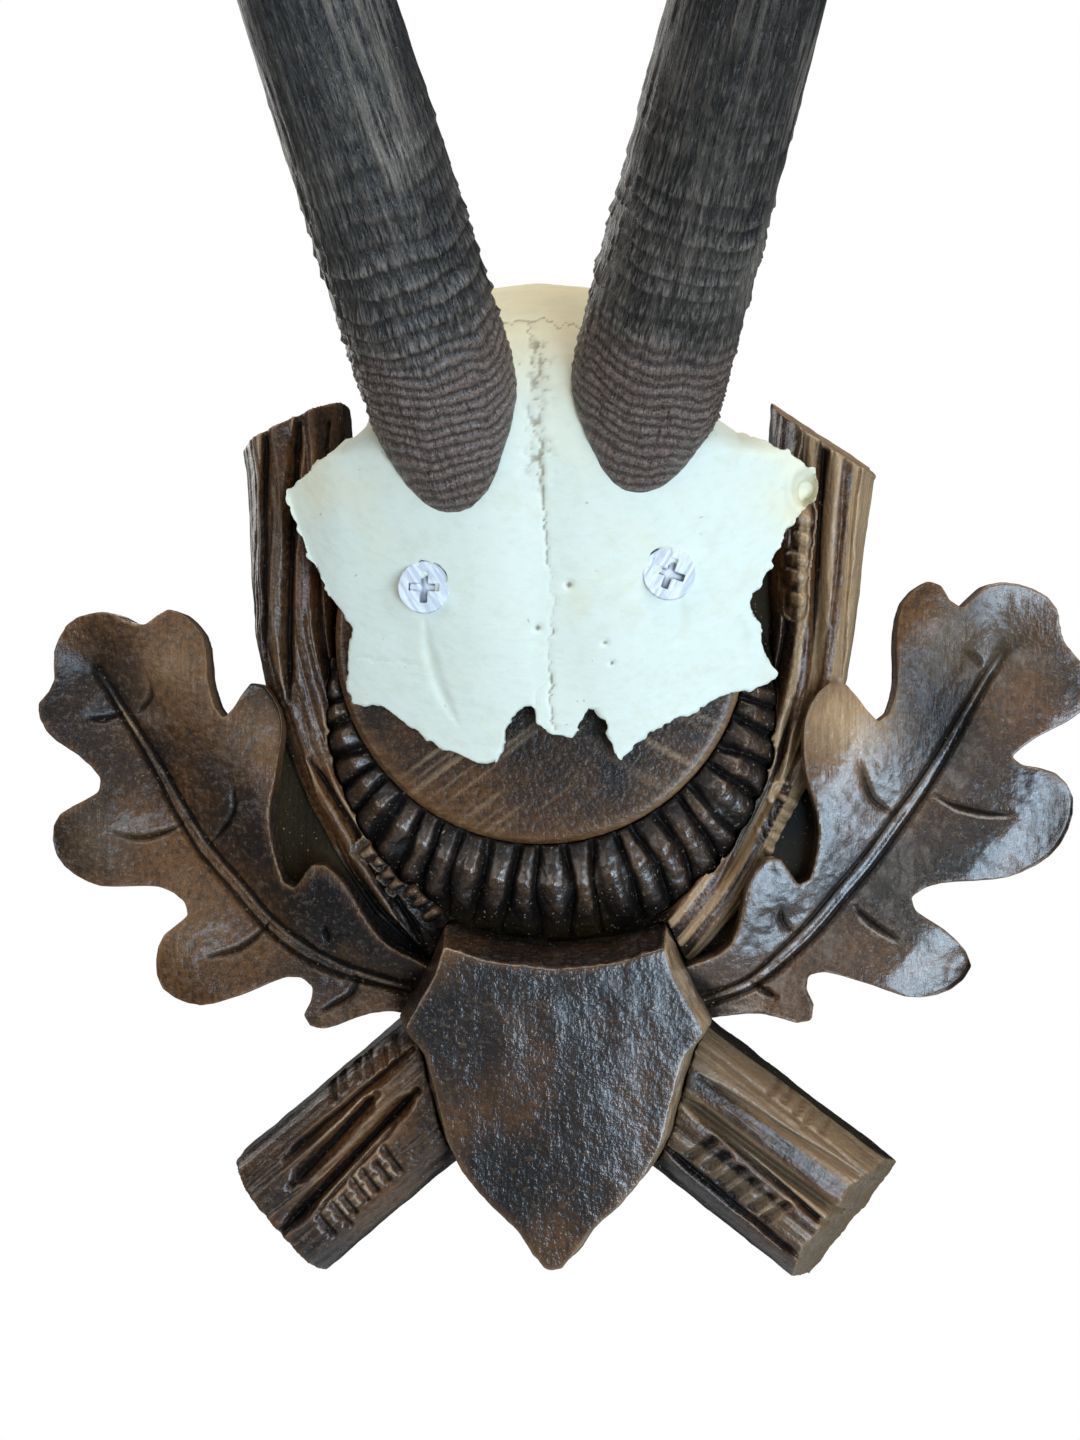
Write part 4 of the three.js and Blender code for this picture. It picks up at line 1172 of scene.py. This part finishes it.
def paint_finish():
    made = bpy.data.materials.get("brushed_paint")
    if made:
        return made
    finish = Finish("brushed_paint")
    place = finish.place()
    strokes = finish.noted("strokes")
    hollow = finish.noted("hollow")
    thin = finish.noise(place, (900, 900, 900), 3)
    colour = finish.mix(finish.span(strokes, 0.2, 0.8), (0.6, 0.65, 0.73), (0.84, 0.88, 0.93))
    # Cross recess and paint dips painted dark: painted shade
    colour = finish.mix(finish.span(hollow, 0.04, 0.25, 0, 0.85), colour, (0.13, 0.13, 0.17))
    colour = finish.mix(finish.span(thin, 0.66, 0.74, 0, 0.5), colour, (0.3, 0.3, 0.36))
    finish.set(Base_Color=colour, Roughness=finish.span(strokes, 0, 1, 0.5, 0.32), Specular_IOR_Level=0.5)
    return finish.material


def lamp(name, place, target, size, power, colour, roll=0):
    data = bpy.data.lights.new(name, "AREA")
    data.shape = "RECTANGLE"
    data.size, data.size_y = size
    data.energy = power
    data.color = colour
    piece = bpy.data.objects.new(name, data)
    piece.location = place
    aim = (Vector(target) - Vector(place)).to_track_quat("-Z", "Y")
    piece.rotation_euler = (aim @ Quaternion((0, 0, 1), math.radians(roll))).to_euler()
    piece.visible_camera = False
    bpy.context.scene.collection.objects.link(piece)


def make_stage(settings):
    bpy.ops.object.select_all(action="DESELECT")
    bpy.ops.mesh.primitive_plane_add(size=3, location=(0, 0, -settings.floor_drop))
    floor = bpy.context.object
    floor.name = "floor"
    pale = Finish("pale_floor")
    pale.set(Base_Color=(0.86, 0.86, 0.85, 1), Roughness=0.7)
    floor.data.materials.append(pale.material)

    world = bpy.data.worlds.new("bright_room")
    bpy.context.scene.world = world
    world.use_nodes = True
    tree = world.node_tree
    tree.nodes.clear()
    output = tree.nodes.new("ShaderNodeOutputWorld")
    room = tree.nodes.new("ShaderNodeBackground")
    room.inputs["Color"].default_value = (0.93, 0.97, 1, 1)
    room.inputs["Strength"].default_value = settings.surround
    seen = tree.nodes.new("ShaderNodeBackground")
    seen.inputs["Color"].default_value = (1, 1, 1, 1)
    seen.inputs["Strength"].default_value = 1
    rays = tree.nodes.new("ShaderNodeLightPath")
    share = tree.nodes.new("ShaderNodeMixShader")
    tree.links.new(rays.outputs["Is Camera Ray"], share.inputs[0])
    tree.links.new(room.outputs[0], share.inputs[1])
    tree.links.new(seen.outputs[0], share.inputs[2])
    tree.links.new(share.outputs[0], output.inputs[0])

    target = (0, -0.03, -0.02)
    lamp("window", (1.05, -0.9, 0.15), target, (0.5, 1), settings.key_power, (0.86, 0.93, 1))
    blue = (0.62, 0.81, 1)
    lamp("front_window", (0.52, -0.94, -0.34), target, (1, 0.34), settings.sheen_power, blue, roll=-48)
    lamp("room_fill", (-0.9, -0.9, 0.25), target, (0.7, 0.9), settings.fill_power, (0.98, 0.97, 0.93))
    lamp("back_room", (-0.8, 1.1, 0.5), target, (0.9, 0.9), settings.back_power, (1, 0.98, 0.95))
    lamp("ceiling", (0.15, -0.55, 1.1), target, (0.9, 0.9), settings.ceiling_power, (1, 0.97, 0.9))

    data = bpy.data.cameras.new("photo_camera")
    data.lens = 37.5
    data.sensor_width = 36
    camera = bpy.data.objects.new("photo_camera", data)
    camera.location = (0.0138, -0.3396, -0.0175)
    camera.rotation_euler = (math.radians(90), 0, math.radians(3))
    bpy.context.scene.collection.objects.link(camera)
    bpy.context.scene.camera = camera
    bpy.context.scene.view_settings.view_transform = "Standard"


class TROPHY_OT_board(bpy.types.Operator):
    """Ground board and round medallion of the plaque"""

    bl_idname = "trophy.board"
    bl_label = "Board and medallion"

    def execute(self, context):
        make_board(context.scene.trophy_carving)
        make_medallion(context.scene.trophy_carving)
        return {"FINISHED"}


class TROPHY_OT_border(bpy.types.Operator):
    """Gadrooned border below the medallion"""

    bl_idname = "trophy.border"
    bl_label = "Gadrooned border"

    def execute(self, context):
        make_border(context.scene.trophy_carving)
        return {"FINISHED"}


class TROPHY_OT_shield(bpy.types.Operator):
    """Blank shield at the foot of the plaque"""

    bl_idname = "trophy.shield"
    bl_label = "Shield"

    def execute(self, context):
        make_shield(context.scene.trophy_carving)
        return {"FINISHED"}


class TROPHY_OT_branches(bpy.types.Operator):
    """Fluted and notched branches"""

    bl_idname = "trophy.branches"
    bl_label = "Branches"

    def execute(self, context):
        for node in BRANCHES:
            make_branch(node, context.scene.trophy_carving)
        return {"FINISHED"}


class TROPHY_OT_leaves(bpy.types.Operator):
    """Oak leaf on each side"""

    bl_idname = "trophy.leaves"
    bl_label = "Oak leaves"

    def execute(self, context):
        for side in MIDRIBS:
            make_leaf(side, context.scene.trophy_carving)
        return {"FINISHED"}


class TROPHY_OT_stain_and_shade(bpy.types.Operator):
    """Dark stain, dust and painted shade in the recesses of the wood"""

    bl_idname = "trophy.stain"
    bl_label = "Stain and painted shade in the recesses"

    def execute(self, context):
        note_recesses()
        return {"FINISHED"}


class TROPHY_OT_skull(bpy.types.Operator):
    """Skull cap with its seams and broken edges"""

    bl_idname = "trophy.skull"
    bl_label = "Skull cap"

    def execute(self, context):
        make_skull(context.scene.trophy_bone)
        return {"FINISHED"}


class TROPHY_OT_horns(bpy.types.Operator):
    """Ringed horn sheaths"""

    bl_idname = "trophy.horns"
    bl_label = "Horns"

    def execute(self, context):
        for side in HORN_FEET:
            make_horn(side, context.scene.trophy_horn)
        return {"FINISHED"}


class TROPHY_OT_screws(bpy.types.Operator):
    """Painted screws with cross recesses"""

    bl_idname = "trophy.screws"
    bl_label = "Screws"

    def execute(self, context):
        for side in SCREW_TURNS:
            make_screw(side)
        return {"FINISHED"}


class TROPHY_OT_stage(bpy.types.Operator):
    """Floor, lights and camera"""

    bl_idname = "trophy.stage"
    bl_label = "Stage"

    def execute(self, context):
        make_stage(context.scene.trophy_stage)
        return {"FINISHED"}


OPERATORS = (
    TROPHY_OT_board,
    TROPHY_OT_border,
    TROPHY_OT_shield,
    TROPHY_OT_branches,
    TROPHY_OT_leaves,
    TROPHY_OT_stain_and_shade,
    TROPHY_OT_skull,
    TROPHY_OT_horns,
    TROPHY_OT_screws,
    TROPHY_OT_stage,
)
SETTINGS = {
    "trophy_carving": TrophyCarving,
    "trophy_bone": TrophyBone,
    "trophy_horn": TrophyHorn,
    "trophy_stage": TrophyStage,
}


class TROPHY_PT_panel(bpy.types.Panel):
    """Buttons that make the trophy piece by piece"""

    bl_idname = "TROPHY_PT_panel"
    bl_label = "Trophy"
    bl_space_type = "VIEW_3D"
    bl_region_type = "UI"
    bl_category = "Trophy"

    def draw(self, context):
        for name, group in SETTINGS.items():
            box = self.layout.box()
            for prop in group.__annotations__:
                box.prop(getattr(context.scene, name), prop)
        for operator in OPERATORS:
            self.layout.operator(operator.bl_idname)


def register():
    for name, group in SETTINGS.items():
        bpy.utils.register_class(group)
        setattr(bpy.types.Scene, name, bpy.props.PointerProperty(type=group))
    for operator in OPERATORS:
        bpy.utils.register_class(operator)
    bpy.utils.register_class(TROPHY_PT_panel)


def unregister():
    bpy.utils.unregister_class(TROPHY_PT_panel)
    for operator in reversed(OPERATORS):
        bpy.utils.unregister_class(operator)
    for name, group in SETTINGS.items():
        delattr(bpy.types.Scene, name)
        bpy.utils.unregister_class(group)


def main():
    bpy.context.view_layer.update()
    register()
    bpy.ops.trophy.board()
    bpy.ops.trophy.border()
    bpy.ops.trophy.shield()
    bpy.ops.trophy.branches()
    bpy.ops.trophy.leaves()
    # Stain, dust and painted shade in the recesses
    bpy.ops.trophy.stain()
    bpy.ops.trophy.skull()
    bpy.ops.trophy.horns()
    bpy.ops.trophy.screws()
    bpy.ops.trophy.stage()


if __name__ == "__main__":
    main()
